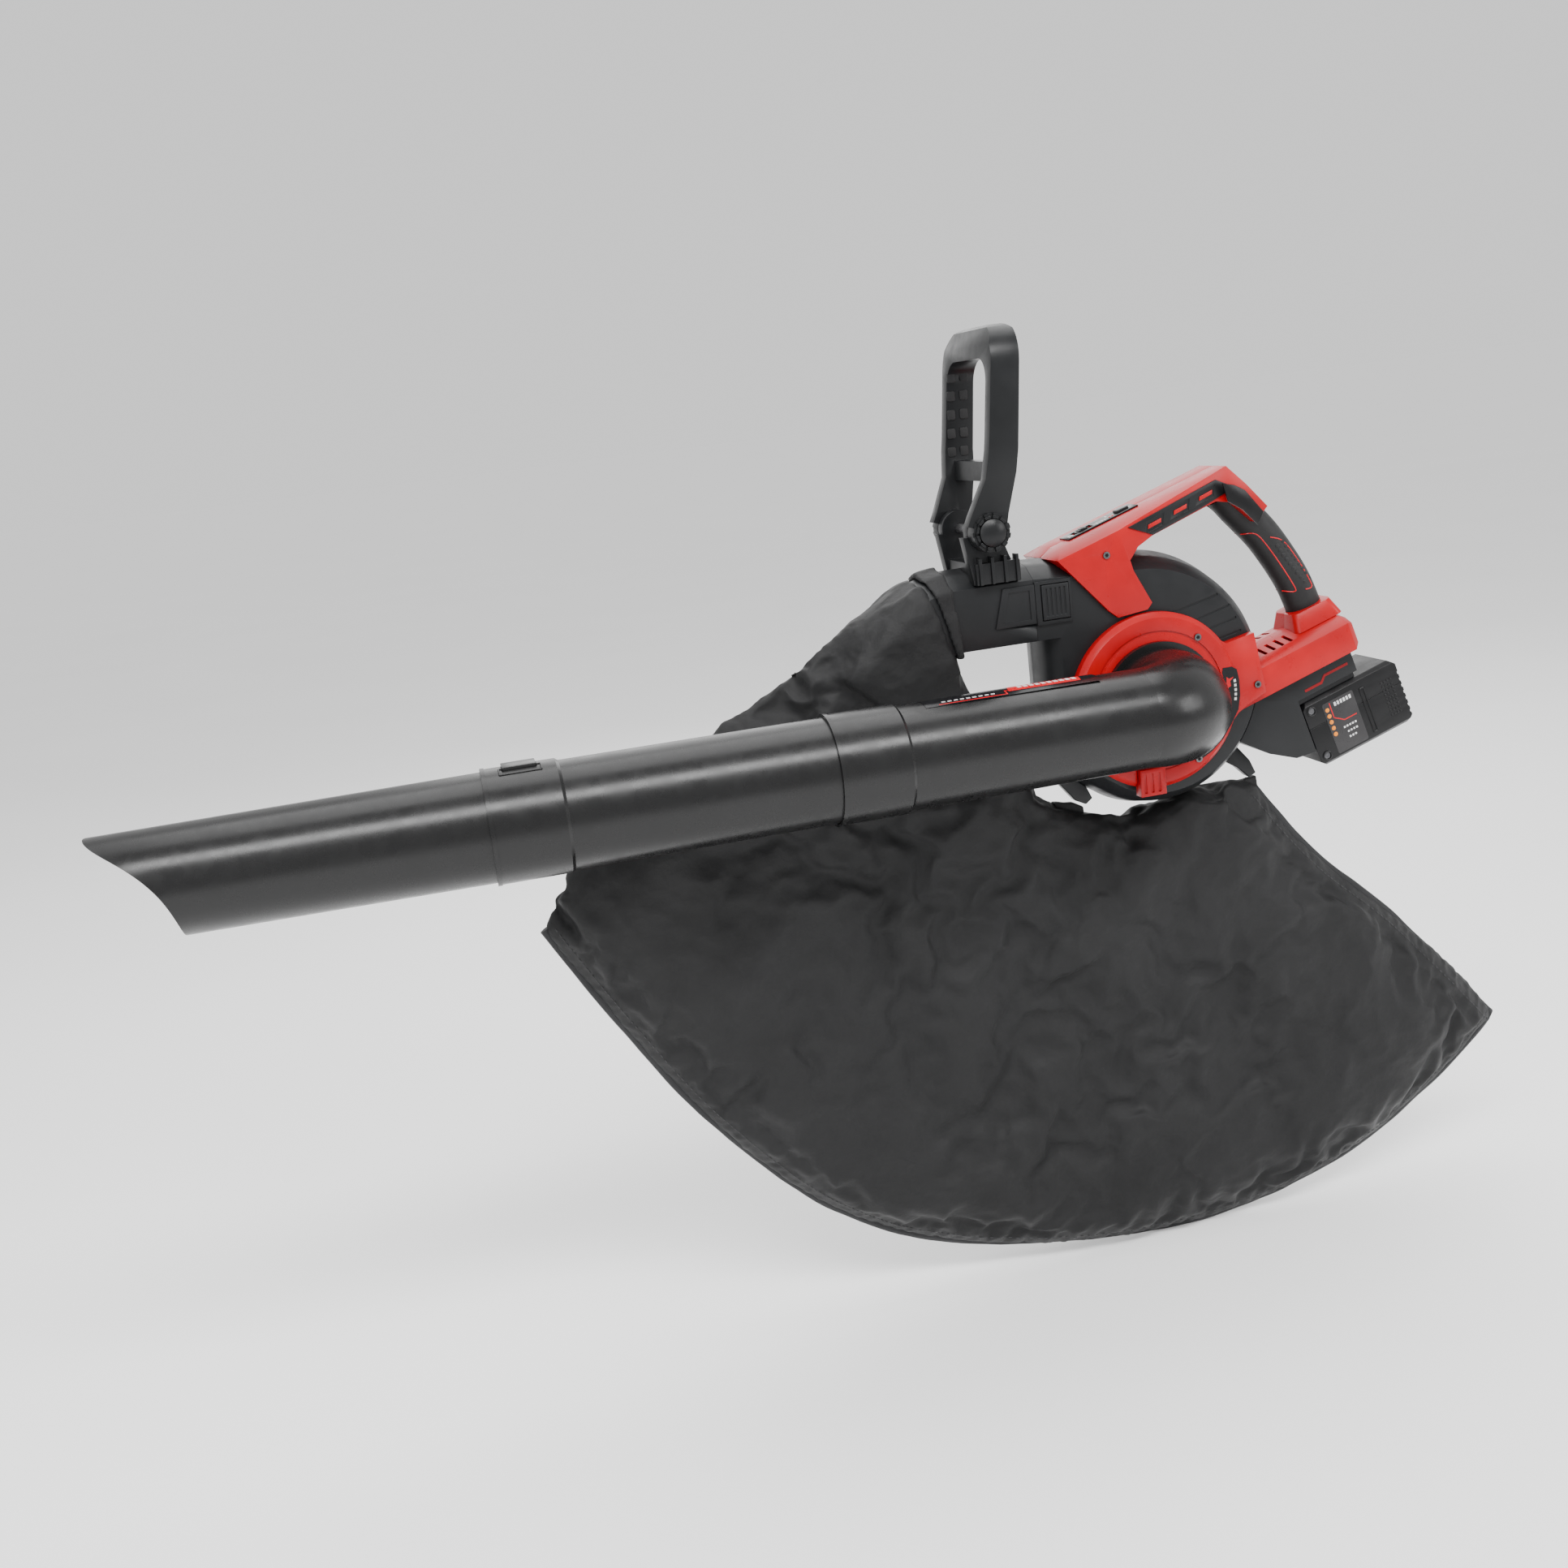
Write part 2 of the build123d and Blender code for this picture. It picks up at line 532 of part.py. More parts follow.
tongue = sloped_box(161, 228, 42, 78, -92, -88.6) + sloped_box(161, 228, 37, 83, -88.6, -84.8)
for y in (50, 60, 70):
    tongue -= sloped_box(155, 172, y - 1.2, y + 1.2, -89, -84)


def pack_block(inset):
    u_low, u_high = PACK_U[0] + inset, PACK_U[1] - inset
    v_low, v_high = PACK_V[0] + inset, PACK_V[1] - inset
    bevel = 7
    corners = [
        (u_low + bevel, v_low), (u_high - bevel, v_low), (u_high, v_low + bevel), (u_high, v_high - bevel),
        (u_high - bevel, v_high), (u_low + bevel, v_high), (u_low, v_high - bevel), (u_low, v_low + bevel)]
    body = slab(sloped(corners), PACK_Y[0] + inset, PACK_Y[1] - inset)
    y_low, y_high = PACK_Y[0] + inset, PACK_Y[1] - inset
    section = [
        (y_low + 4, v_low), (y_high - 4, v_low), (y_high, v_low + 4), (y_high, v_high - 4),
        (y_high - 4, v_high), (y_low + 4, v_high), (y_low, v_high - 4), (y_low, v_low + 4)]
    return body & along_slope(outline(section), u_low - 1, u_high + 1)


PACK_SPLIT = -122.0
PACK_BUTTON = (-114.0, -100.0)
pack_shell = pack_block(0) - pack_block(WALL)
for step in range(7):
    groove_v = -160 + 8 * step
    pack_shell -= sloped_box(PACK_U[1] - 1.2, PACK_U[1] + 2, 20, 100, groove_v, groove_v + 3.4)
pack_shell -= sloped_box(PACK_U[1] - 6, PACK_U[1] + 6, 44.5, 75.5, PACK_BUTTON[0] - 0.5, PACK_BUTTON[1] + 0.5)
battery_top = pack_shell & sloped_box(100, 400, 0, 200, PACK_SPLIT + SPLIT, 0)
battery_bottom = pack_shell & sloped_box(100, 400, 0, 200, -300, PACK_SPLIT - SPLIT)
battery_button = sloped_box(PACK_U[1] - 5, PACK_U[1] + 3.2, 45, 75, PACK_BUTTON[0], PACK_BUTTON[1])
cells = []
for row_v in (-156.5, -136.5):
    for step in range(5):
        cells.append(drum_sloped(182 + 19.4 * step, row_v, 9.3, 30, 90))
battery_board = sloped_box(170, 266, 32, 88, -122, -119.5)

# ---------------------------------------------------------------- fan and motor

bearing = spun([(SHAFT_BORE_R, 60.2), (11, 60.2), (11, 66), (SHAFT_BORE_R, 66)])
rear_bearing = spun([(SHAFT_BORE_R, 97), (11, 97), (11, 101.5), (SHAFT_BORE_R, 101.5)])
motor_can = spun([
    (18, 70), (18, 95), (11.05, 95), (11.05, 101.5), (MOTOR_R, 101.5), (MOTOR_R, 66.2), (11.05, 66.2),
    (11.05, 70)])
motor_rotor = spun([(0, 17), (SHAFT_R, 17), (SHAFT_R, 72), (17, 72), (17, 93), (SHAFT_R, 93), (SHAFT_R, 101),
                    (0, 101)])
impeller = spun([(SHAFT_R, 26), (16, 26), (20, 50), (FAN_R, 54), (FAN_R, 57), (SHAFT_R, 57)])
for step in range(BLADES):
    angle = 360 / BLADES * step
    blade_root = Pos(0, 0) * Rot(0, 0, angle) * Pos(50, 0) * Rectangle(68, 2.6)
    impeller += slab(blade_root, 24, 54.5) - drum(0, 0, 15.5, 20, 60)
impeller -= spun([(0, 20), (SHAFT_R, 20), (SHAFT_R, 60), (0, 60)])
fan_nut = slab(RegularPolygon(8, 6), 18, 25.9) - drum(0, 0, SHAFT_R, 0, 60)

motor_cover = spun([(0, FAR_Y + SKIN), (78, FAR_Y + SKIN), (78, 109), (72, 114), (0, 114)])
motor_cover -= spun([(0, 100), (70, 100), (70, 111.2), (0, 111.2)])
for step in range(16):
    slot = Rot(0, 0, 22.5 * step) * Pos(42, 0) * Rectangle(36, 4)
    motor_cover -= slab(slot, 100, 130)
motor_cover -= scroll_clear

# ---------------------------------------------------------------- debris bag

BAG_HEM = [(-681, -149), (-611, -275), (-530, -401), (-406, -533), (-248, -612), (5, -649), (212, -613),
           (358, -532), (436, -465)]
BAG_REAR = [(436, -465), (303, -311), (209, -221), (137, -128)]
BAG_TOP = [(137, -128), (88, -120), (45, -126), (-15, -136), (-75, -128), (-126, -100)]
BAG_MOUTH = [(-126, -100), (-208, 70), (-262, 150)]
BAG_SHOULDER = [(-262, 150), (-341, 109), (-462, 29), (-646, -95), (-681, -149)]
BAG_CENTRE = (-150, -280)
BAG_LEVELS = [(1.0, 4.0), (0.95, 20.0), (0.86, 28.0)]     # scale about the centre, and half thickness there


def bag_level(scale):
    def drawn_in(points):
        return [(BAG_CENTRE[0] + scale * (x - BAG_CENTRE[0]), BAG_CENTRE[1] + scale * (z - BAG_CENTRE[1]))
                for x, z in points]

    sides = [Spline(*drawn_in(BAG_HEM)), Spline(*drawn_in(BAG_REAR)), Spline(*drawn_in(BAG_TOP)),
             Polyline(*drawn_in(BAG_MOUTH)), Spline(*drawn_in(BAG_SHOULDER))]
    return make_face(Curve() + sides)


faces = [across(MID_Y) * bag_level(1)]
for scale, half in BAG_LEVELS:
    faces.append(across(MID_Y - half) * bag_level(scale))
bag_side = loft(faces, ruled=True)
bag = bag_side + mirrored(bag_side) + bent_duct(4.5, 17, SPIGOT + 45)
bag -= bent_duct(1.3, 0, SPIGOT + 30, DUCT_END_X) + bent_duct(6.0, 4, 0, end_angle=16.9)
bag_cuff = bent_duct(5.5, 5, 0, end_angle=16.5) - bent_duct(1.3, 0, SPIGOT, DUCT_END_X)


def hook(points):
    return slab(outline(points), 53, 67) - scroll_clear


bag_hook_front = hook([(-96, -62), (-70, -90), (-62, -108), (-70, -114), (-82, -108), (-104, -80)])
bag_hook_rear = hook([(92, -88), (112, -74), (130, -96), (137, -112), (128, -116), (114, -102)])
strap_front = slab(outline([(-108, -106), (-84, -111), (-72, -117), (-72, -134), (-104, -116)]), 56, 64) - bag
strap_rear = slab(outline([(112, -120), (126, -118.5), (139, -116), (140, -140), (112, -136)]), 56, 64) - bag

# ---------------------------------------------------------------- export

NODES = {
    "volute_near": volute_near,
    "volute_far": volute_far,
    "outlet_elbow": outlet_elbow,
    "duct_latch_near": latch,
    "duct_latch_far": mirrored(latch),
    "handle_bracket": bracket,
    "front_handle": front_handle,
    "handle_pivot_bolt": pivot_bolt,
    "pivot_knob_near": knob,
    "pivot_knob_far": mirrored(knob),
    "lower_tube": lower_tube,
    "middle_tube": middle_tube,
    "suction_elbow": suction_elbow,
    "tube_catch": tube_catch,
    "intake_seal": intake_seal,
    "intake_cover": intake_cover,
    "intake_lock": intake_lock,
    "arm_far": arm_far,
    "rear_grip_near": near_half(grip),
    "rear_grip_far": far_half(grip),
    "switch_cable": switch_cable,
    "handle_near": handle_near,
    "handle_far": handle_far,
    "side_panel_near": panel,
    "side_panel_far": mirrored(panel),
    "panel_inserts": inserts + mirrored(inserts),
    "control_panel": control_panel,
    "speed_dial": speed_dial,
    "dial_cradle": dial_cradle,
    "power_button": power_button,
    "switch_module": switch_module,
    "housing_screws": Compound(children=[Part() + screw for screw in screws]),
    "battery_dock": dock,
    "dock_rails": dock_rails,
    "dock_terminals": terminals,
    "controller_board": controller_board,
    "battery_case_top": battery_top,
    "battery_case_bottom": battery_bottom,
    "battery_rail": tongue,
    "battery_button": battery_button,
    "battery_cells": Compound(children=[Part() + cell for cell in cells]),
    "battery_board": battery_board,
    "motor_can": motor_can,
    "motor_rotor": motor_rotor,
    "front_bearing": bearing,
    "rear_bearing": rear_bearing,
    "impeller": impeller,
    "fan_nut": fan_nut,
    "motor_cover": motor_cover,
    "debris_bag": bag,
    "bag_cuff": bag_cuff,
    "bag_hook_front": bag_hook_front,
    "bag_hook_rear": bag_hook_rear,
    "bag_strap_front": strap_front,
    "bag_strap_rear": strap_rear,
}

os.makedirs("parts", exist_ok=True)
for name, solid in NODES.items():
    placed = Pos(-GRIP_CENTRE[0], -GRIP_CENTRE[1], -GRIP_CENTRE[2]) * solid
    export_step(placed, f"parts/{name}.step")
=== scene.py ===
import json
import math

import bmesh
import bpy
import numpy as np
from mathutils import Matrix, Vector, noise
from mathutils.bvhtree import BVHTree
from mathutils.kdtree import KDTree


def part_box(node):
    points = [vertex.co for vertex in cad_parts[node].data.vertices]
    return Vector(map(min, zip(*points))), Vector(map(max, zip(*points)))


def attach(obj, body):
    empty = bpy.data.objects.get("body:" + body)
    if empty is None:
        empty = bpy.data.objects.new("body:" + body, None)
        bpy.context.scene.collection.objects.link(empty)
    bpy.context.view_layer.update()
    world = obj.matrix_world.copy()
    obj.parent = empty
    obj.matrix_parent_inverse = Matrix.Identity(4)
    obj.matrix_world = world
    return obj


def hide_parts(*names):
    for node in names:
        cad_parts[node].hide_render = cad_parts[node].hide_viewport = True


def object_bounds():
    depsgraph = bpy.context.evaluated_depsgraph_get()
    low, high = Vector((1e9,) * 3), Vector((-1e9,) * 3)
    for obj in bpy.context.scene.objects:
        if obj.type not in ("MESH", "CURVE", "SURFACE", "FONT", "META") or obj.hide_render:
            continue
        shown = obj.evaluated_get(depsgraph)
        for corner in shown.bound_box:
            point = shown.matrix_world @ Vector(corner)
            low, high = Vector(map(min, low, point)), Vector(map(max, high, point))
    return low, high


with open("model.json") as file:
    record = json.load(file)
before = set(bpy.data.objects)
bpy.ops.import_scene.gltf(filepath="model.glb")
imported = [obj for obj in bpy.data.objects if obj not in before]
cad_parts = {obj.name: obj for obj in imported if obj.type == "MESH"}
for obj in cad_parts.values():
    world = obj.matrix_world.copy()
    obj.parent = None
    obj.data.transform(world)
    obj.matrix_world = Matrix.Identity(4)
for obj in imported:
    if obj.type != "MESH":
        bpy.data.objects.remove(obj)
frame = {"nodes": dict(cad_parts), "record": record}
cad_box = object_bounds()
NODES = frame["nodes"]
RECORD = frame["record"]
SLOPE = math.radians(18.0)
GRIP = Vector((0.186, 0.060, 0.123))        # the frame's origin, measured from the fan's own
MID_FAN = 60.0                              # the housings' parting plane, along Y from the fan's origin


# ---------------------------------------------------------------- places

def at(x, y, z):
    """The point of the frame at these millimetres from the fan's origin."""
    return Vector((x, y, z)) / 1000 - GRIP


def tilt(u, v, y):
    """The same, but u and v run along and across the slope of the arm and battery."""
    return at(u * math.cos(SLOPE) - v * math.sin(SLOPE), y, u * math.sin(SLOPE) + v * math.cos(SLOPE))


# ---------------------------------------------------------------- material helpers

class Shader:
    """A principled material with a few short ways to wire it."""

    def __init__(self, name, colour, rough, **sockets):
        self.mat = bpy.data.materials.new(name)
        self.mat.use_nodes = True
        self.tree = self.mat.node_tree
        self.tree.nodes.clear()
        self.out = self.tree.nodes.new("ShaderNodeOutputMaterial")
        self.bsdf = self.tree.nodes.new("ShaderNodeBsdfPrincipled")
        self.link(self.bsdf.outputs[0], self.out.inputs[0])
        self.set("Base Color", (*colour, 1))
        self.set("Roughness", rough)
        for key, value in sockets.items():
            self.set(key.replace("_", " "), value)
        self.coords = self.tree.nodes.new("ShaderNodeTexCoord").outputs["Object"]
        self.normal = None

    def set(self, name, value):
        self.bsdf.inputs[name].default_value = value

    def link(self, a, b):
        self.tree.links.new(a, b)

    def node(self, kind, inputs=None, **props):
        made = self.tree.nodes.new(kind)
        for key, value in props.items():
            setattr(made, key, value)
        for key, value in (inputs or {}).items():
            socket = made.inputs[key]
            if isinstance(value, bpy.types.NodeSocket):
                self.link(value, socket)
            else:
                socket.default_value = value
        return made

    def noise(self, scale, detail=3.0, rough=0.5, coords=None):
        made = self.node("ShaderNodeTexNoise", {"Vector": coords or self.coords, "Scale": scale,
                                                "Detail": detail, "Roughness": rough})
        return made.outputs["Fac"]

    def mapped(self, source, low, high, start=0.3, end=0.7):
        made = self.node("ShaderNodeMapRange", {"Value": source, "From Min": start, "From Max": end,
                                                "To Min": low, "To Max": high})
        return made.outputs[0]

    def rough_between(self, source, low, high):
        self.link(self.mapped(source, low, high), self.bsdf.inputs["Roughness"])

    def tint(self, source, dark, light, start=0.35, end=0.65):
        ramp = self.node("ShaderNodeValToRGB", {"Fac": source})
        ramp.color_ramp.elements[0].position = start
        ramp.color_ramp.elements[1].position = end
        ramp.color_ramp.elements[0].color = (*dark, 1)
        ramp.color_ramp.elements[1].color = (*light, 1)
        self.link(ramp.outputs[0], self.bsdf.inputs["Base Color"])

    def bump(self, height, distance, strength=1.0):
        made = self.node("ShaderNodeBump", {"Height": height, "Distance": distance, "Strength": strength})
        if self.normal is not None:
            self.link(self.normal, made.inputs["Normal"])
        self.normal = made.outputs[0]
        self.link(self.normal, self.bsdf.inputs["Normal"])


def scaled(colour, factor):
    return tuple(c * factor for c in colour)


def plastic(name, colour, rough, spread=0.06, grain=2600.0, grain_depth=0.00002, ripple=0.00003,
            shine=0.24, **sockets):
    """Moulded plastic: fine mould grain, a slow ripple, and handling marks in its gloss."""
    s = Shader(name, colour, rough, Specular_IOR_Level=shine, **sockets)
    s.tint(s.noise(14.0, 4.0), scaled(colour, 0.86), scaled(colour, 1.14))
    s.rough_between(s.noise(55.0, 5.0, 0.6), rough - spread, rough + spread)
    s.bump(s.noise(30.0, 2.0), ripple)
    s.bump(s.noise(grain, 2.0), grain_depth)
    return s.mat


def metal(name, colour, rough, brushed=(1, 1, 40)):
    s = Shader(name, colour, rough, Metallic=1.0)
    stretch = s.node("ShaderNodeMapping", {"Vector": s.coords, "Scale": brushed}).outputs[0]
    s.tint(s.noise(60.0, 3.0), scaled(colour, 0.8), scaled(colour, 1.1))
    s.rough_between(s.noise(300.0, 3.0, coords=stretch), rough - 0.08, rough + 0.1)
    s.bump(s.noise(300.0, 3.0, coords=stretch), 0.00002)
    return s.mat


def rubber(name, colour, rough):
    s = Shader(name, colour, rough, Sheen_Weight=0.05, Sheen_Roughness=0.5, Specular_IOR_Level=0.3)
    s.tint(s.noise(25.0, 4.0), scaled(colour, 0.85), scaled(colour, 1.2))
    s.rough_between(s.noise(90.0, 4.0), rough - 0.06, rough + 0.06)
    s.bump(s.noise(1500.0, 2.0), 0.00006)
    return s.mat


def board(name, colour):
    s = Shader(name, colour, 0.35, Coat_Weight=0.3)
    cells = s.node("ShaderNodeTexVoronoi", {"Vector": s.coords, "Scale": 160.0}, distance="CHEBYCHEV")
    s.tint(cells.outputs["Distance"], scaled(colour, 0.6), scaled(colour, 1.5), 0.2, 0.5)
    s.bump(cells.outputs["Distance"], 0.0002)
    return s.mat


def woven(name, colour, wrinkles=True):
    """Black woven polyester: a plain weave, crease marks and a faint sheen."""
    s = Shader(name, colour, 0.62, Sheen_Weight=0.035, Sheen_Roughness=0.4, Specular_IOR_Level=0.26)
    threads = {"Vector": s.coords, "Scale": 420.0, "Distortion": 0.6, "Detail": 1.0}
    warp = s.node("ShaderNodeTexWave", threads, bands_direction="X").outputs["Fac"]
    weft = s.node("ShaderNodeTexWave", threads, bands_direction="Z").outputs["Fac"]
    weave = s.node("ShaderNodeMath", {0: warp, 1: weft}, operation="MULTIPLY").outputs[0]
    s.tint(s.noise(9.0, 6.0, 0.6), scaled(colour, 0.8), scaled(colour, 1.25), 0.3, 0.7)
    s.rough_between(s.noise(12.0, 5.0), 0.50, 0.66)
    if wrinkles:
        s.bump(s.noise(22.0, 5.0, 0.55), 0.0028)
        s.bump(s.noise(70.0, 3.0, 0.5), 0.0006)
    s.bump(weave, 0.00012)
    return s.mat


RED = (0.34, 0.0001, 0.0030)
MATERIALS = {
    "housing_black": plastic("housing black", (0.0085, 0.0090, 0.0098), 0.38),
    "handle_black": plastic("handle black", (0.0062, 0.0066, 0.0072), 0.34),
    "tube_black": plastic("tube black", (0.0040, 0.0040, 0.0042), 0.28, spread=0.05, grain=1400.0,
                          grain_depth=0.000006, ripple=0.00012, shine=0.36),
    "panel_black": plastic("panel black", (0.0045, 0.0045, 0.0050), 0.22),
    "battery_black": plastic("battery black", (0.0055, 0.0055, 0.0060), 0.36, grain=1800.0,
                             grain_depth=0.00005),
    "housing_red": plastic("housing red", RED, 0.30, spread=0.05, grain_depth=0.000008, shine=0.26),
    "grip_rubber": rubber("grip rubber", (0.0060, 0.0060, 0.0064), 0.55),
    "seal_rubber": rubber("seal rubber", (0.012, 0.012, 0.012), 0.6),
    "steel": metal("zinc steel", (0.52, 0.52, 0.53), 0.32),
    "motor_steel": metal("motor steel", (0.33, 0.33, 0.34), 0.4),
    "brass_contacts": metal("contact brass", (0.75, 0.55, 0.25), 0.25),
    "circuit_green": board("circuit board", (0.02, 0.14, 0.05)),
    "cell_blue": plastic("cell sleeve", (0.04, 0.16, 0.42), 0.3),
    "fan_grey": plastic("fan grey", (0.08, 0.08, 0.085), 0.5),
    "bag_fabric": woven("bag fabric", (0.0072, 0.0072, 0.0076)),
}
for part in RECORD["subparts"]:
    node = NODES[part["node"]]
    node.data.materials.clear()
    node.data.materials.append(MATERIALS[part["material_slot"]])


# ---------------------------------------------------------------- mesh helpers

BODY_OF = {node: body for body, nodes in RECORD["behaviour"]["bodies"].items() for node in nodes}
SLOT_OF = {part["node"]: part["material_slot"] for part in RECORD["subparts"]}


def add_piece(name, mesh, material, body, smooth=True):
    """Put a finished mesh in the scene and say what it moves with."""
    mesh.materials.clear()
    mesh.materials.append(material)
    if smooth:
        mesh.shade_smooth()
    piece = bpy.data.objects.new(name, mesh)
    bpy.context.scene.collection.objects.link(piece)
    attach(piece, body)
    return piece


def baked(mesh, *modifiers):
    """The mesh with modifiers applied; each is (type, settings)."""
    carrier = bpy.data.objects.new("carrier", mesh)
    bpy.context.scene.collection.objects.link(carrier)
    for kind, settings in modifiers:
        modifier = carrier.modifiers.new(kind.lower(), kind)
        for key, value in settings.items():
            setattr(modifier, key, value)
    graph = bpy.context.evaluated_depsgraph_get()
    result = bpy.data.meshes.new_from_object(carrier.evaluated_get(graph))
    bpy.data.objects.remove(carrier)
    return result


WELD = 0.00001
FLAT = math.radians(0.8)                    # faces within this angle count as one flat face
EDGE_ANGLE = math.radians(32.0)             # sharper edges than this are rounded over
SMOOTH_ANGLE = math.radians(30.0)
TWISTED = 0.5                               # cosine below which a blended normal is given up


def eased(node, width, merge):
    """A copy of a CAD node with its edges rounded over, which stands for it."""
    work = bmesh.new()
    work.from_mesh(NODES[node].data)
    bmesh.ops.remove_doubles(work, verts=work.verts, dist=WELD)
    if merge:
        bmesh.ops.dissolve_limit(work, angle_limit=FLAT, verts=work.verts, edges=work.edges)
    mesh = bpy.data.meshes.new(node + "_body")
    work.to_mesh(mesh)
    work.free()
    rounded = baked(mesh, ("BEVEL", {"width": width, "segments": 3, "limit_method": "ANGLE",
                                     "angle_limit": EDGE_ANGLE, "use_clamp_overlap": True,
                                     "harden_normals": False}),
                    ("TRIANGULATE", {"ngon_method": "BEAUTY"}))
    rounded.shade_smooth()
    rounded.set_sharp_from_angle(angle=SMOOTH_ANGLE)
    normals = [normal.vector.copy() for normal in rounded.corner_normals]
    twisted = [face for face in rounded.polygons
               if min(face.normal.dot(normals[corner]) for corner in face.loop_indices) < TWISTED]
    for face in twisted:
        face.use_smooth = False
    slot = SLOT_OF[node]
    piece = add_piece(node + "_body", rounded, MATERIALS[slot], BODY_OF[node], smooth=False)
    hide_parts(node)


class Build:
    """Collects simple rounded shapes into one mesh."""

    def __init__(self):
        self.work = bmesh.new()

    def prism(self, points, normal, height, bevel=0.0, segments=2):
        """A flat outline raised along the normal, with its top edge eased."""
        base = [self.work.verts.new(p) for p in points]
        top = [self.work.verts.new(Vector(p) + Vector(normal) * height) for p in points]
        count = len(base)
        faces = [self.work.faces.new(list(reversed(base))), self.work.faces.new(top)]
        for i in range(count):
            after = (i + 1) % count
            faces.append(self.work.faces.new([base[i], base[after], top[after], top[i]]))
        bmesh.ops.recalc_face_normals(self.work, faces=faces)
        if bevel:
            bmesh.ops.bevel(self.work, geom=list(faces[1].edges), offset=bevel, segments=segments,
                            profile=0.5, affect="EDGES")

    def tube(self, points, radius, sides=8, closed=False, flat=1.0, normal=None):
        """A round or flattened rod along a line of points."""
        points = [Vector(p) for p in points]
        count = len(points)
        rings = []
        for i, point in enumerate(points):
            before = points[i - 1] if (i or closed) else point
            after = points[(i + 1) % count] if (i + 1 < count or closed) else point
            along = (after - before).normalized()
            side = along.cross(Vector(normal or (0, 1, 0)))
            side = side.normalized() if side.length > 1e-6 else Vector((1, 0, 0))
            out = side.cross(along).normalized()
            ring = []
            for step in range(sides):
                a = 2 * math.pi * step / sides
                ring.append(self.work.verts.new(point + side * (radius * math.cos(a))
                                                + out * (radius * flat * math.sin(a))))
            rings.append(ring)
        spans = count if closed else count - 1
        for i in range(spans):
            a, b = rings[i], rings[(i + 1) % count]
            for step in range(sides):
                after = (step + 1) % sides
                self.work.faces.new([a[step], a[after], b[after], b[step]])
        if not closed:
            self.work.faces.new(list(reversed(rings[0])))
            self.work.faces.new(rings[-1])

    def turned(self, centre, axis, profile, steps=40):
        """A profile of (radius, height along the axis) turned round."""
        axis = Vector(axis).normalized()
        side = axis.orthogonal().normalized()
        other = axis.cross(side)
        rings = []
        for radius, height in profile:
            if radius < 1e-7:
                rings.append([self.work.verts.new(Vector(centre) + axis * height)])
                continue
            ring = []
            for step in range(steps):
                a = 2 * math.pi * step / steps
                ring.append(self.work.verts.new(Vector(centre) + axis * height
                                                + (side * math.cos(a) + other * math.sin(a)) * radius))
            rings.append(ring)
        for a, b in zip(rings, rings[1:]):
            for step in range(steps):
                after = (step + 1) % steps
                if len(a) == 1:
                    self.work.faces.new([a[0], b[step], b[after]])
                elif len(b) == 1:
                    self.work.faces.new([a[step], b[0], a[after]])
                else:
                    self.work.faces.new([a[step], b[step], b[after], a[after]])

    def mesh(self, name):
        bmesh.ops.recalc_face_normals(self.work, faces=self.work.faces)
        mesh = bpy.data.meshes.new(name)
        self.work.to_mesh(mesh)
        self.work.free()
        return mesh

    def finish(self, name, material, body, smooth_angle=35.0):
        mesh = self.mesh(name)
        mesh.shade_smooth()
        mesh.set_sharp_from_angle(angle=math.radians(smooth_angle))
        return add_piece(name, mesh, material, body, smooth=False)


def surface_of(*nodes):
    """The CAD nodes' faces as one surface for casting rays at."""
    verts = []
    faces = []
    for node in nodes:
        start = len(verts)
        mesh = NODES[node].data
        verts.extend(v.co for v in mesh.vertices)
        faces.extend(tuple(start + i for i in p.vertices) for p in mesh.polygons)
    return BVHTree.FromPolygons(verts, faces)


def smooth_line(points, steps=8, closed=False):
    """A rounded curve through the points (Catmull-Rom)."""
    points = [Vector(p) for p in points]
    count = len(points)
    line = []
    spans = count if closed else count - 1
    for i in range(spans):
        if closed:
            p0, p1, p2, p3 = points[i - 1], points[i], points[(i + 1) % count], points[(i + 2) % count]
        else:
            p0, p3 = points[max(i - 1, 0)], points[min(i + 2, count - 1)]
            p1, p2 = points[i], points[i + 1]
        for step in range(steps):
            t = step / steps
            line.append(0.5 * (2 * p1 + (p2 - p0) * t + (2 * p0 - 5 * p1 + 4 * p2 - p3) * t ** 2
                               + (3 * p1 - p0 - 3 * p2 + p3) * t ** 3))
    if not closed:
        line.append(points[-1])
    return line


# ---------------------------------------------------------------- eased mouldings

EASED_WIDTHS = {
    "volute_near": 1.6, "volute_far": 1.6, "outlet_elbow": 1.6, "duct_latch_near": 0.7,
    "duct_latch_far": 0.7, "handle_bracket": 0.8, "front_handle": 4.2, "intake_cover": 1.5,
    "intake_lock": 1.2, "arm_far": 1.5, "handle_near": 1.5, "handle_far": 1.5, "side_panel_near": 0.6,
    "side_panel_far": 0.6, "panel_inserts": 0.25, "control_panel": 0.5, "power_button": 0.8,
    "battery_dock": 1.2, "battery_case_top": 1.3, "battery_case_bottom": 1.3, "battery_button": 0.7,
    "motor_cover": 1.0, "tube_catch": 0.8, "bag_hook_front": 1.6, "bag_hook_rear": 1.6, "speed_dial": 0.3,
}
KEPT_FACETS = ("volute_near", "volute_far", "arm_far")     # merging their flat faces would fold some over

for node, width in EASED_WIDTHS.items():
    eased(node, width / 1000, merge=node not in KEPT_FACETS)


# ---------------------------------------------------------------- debris bag

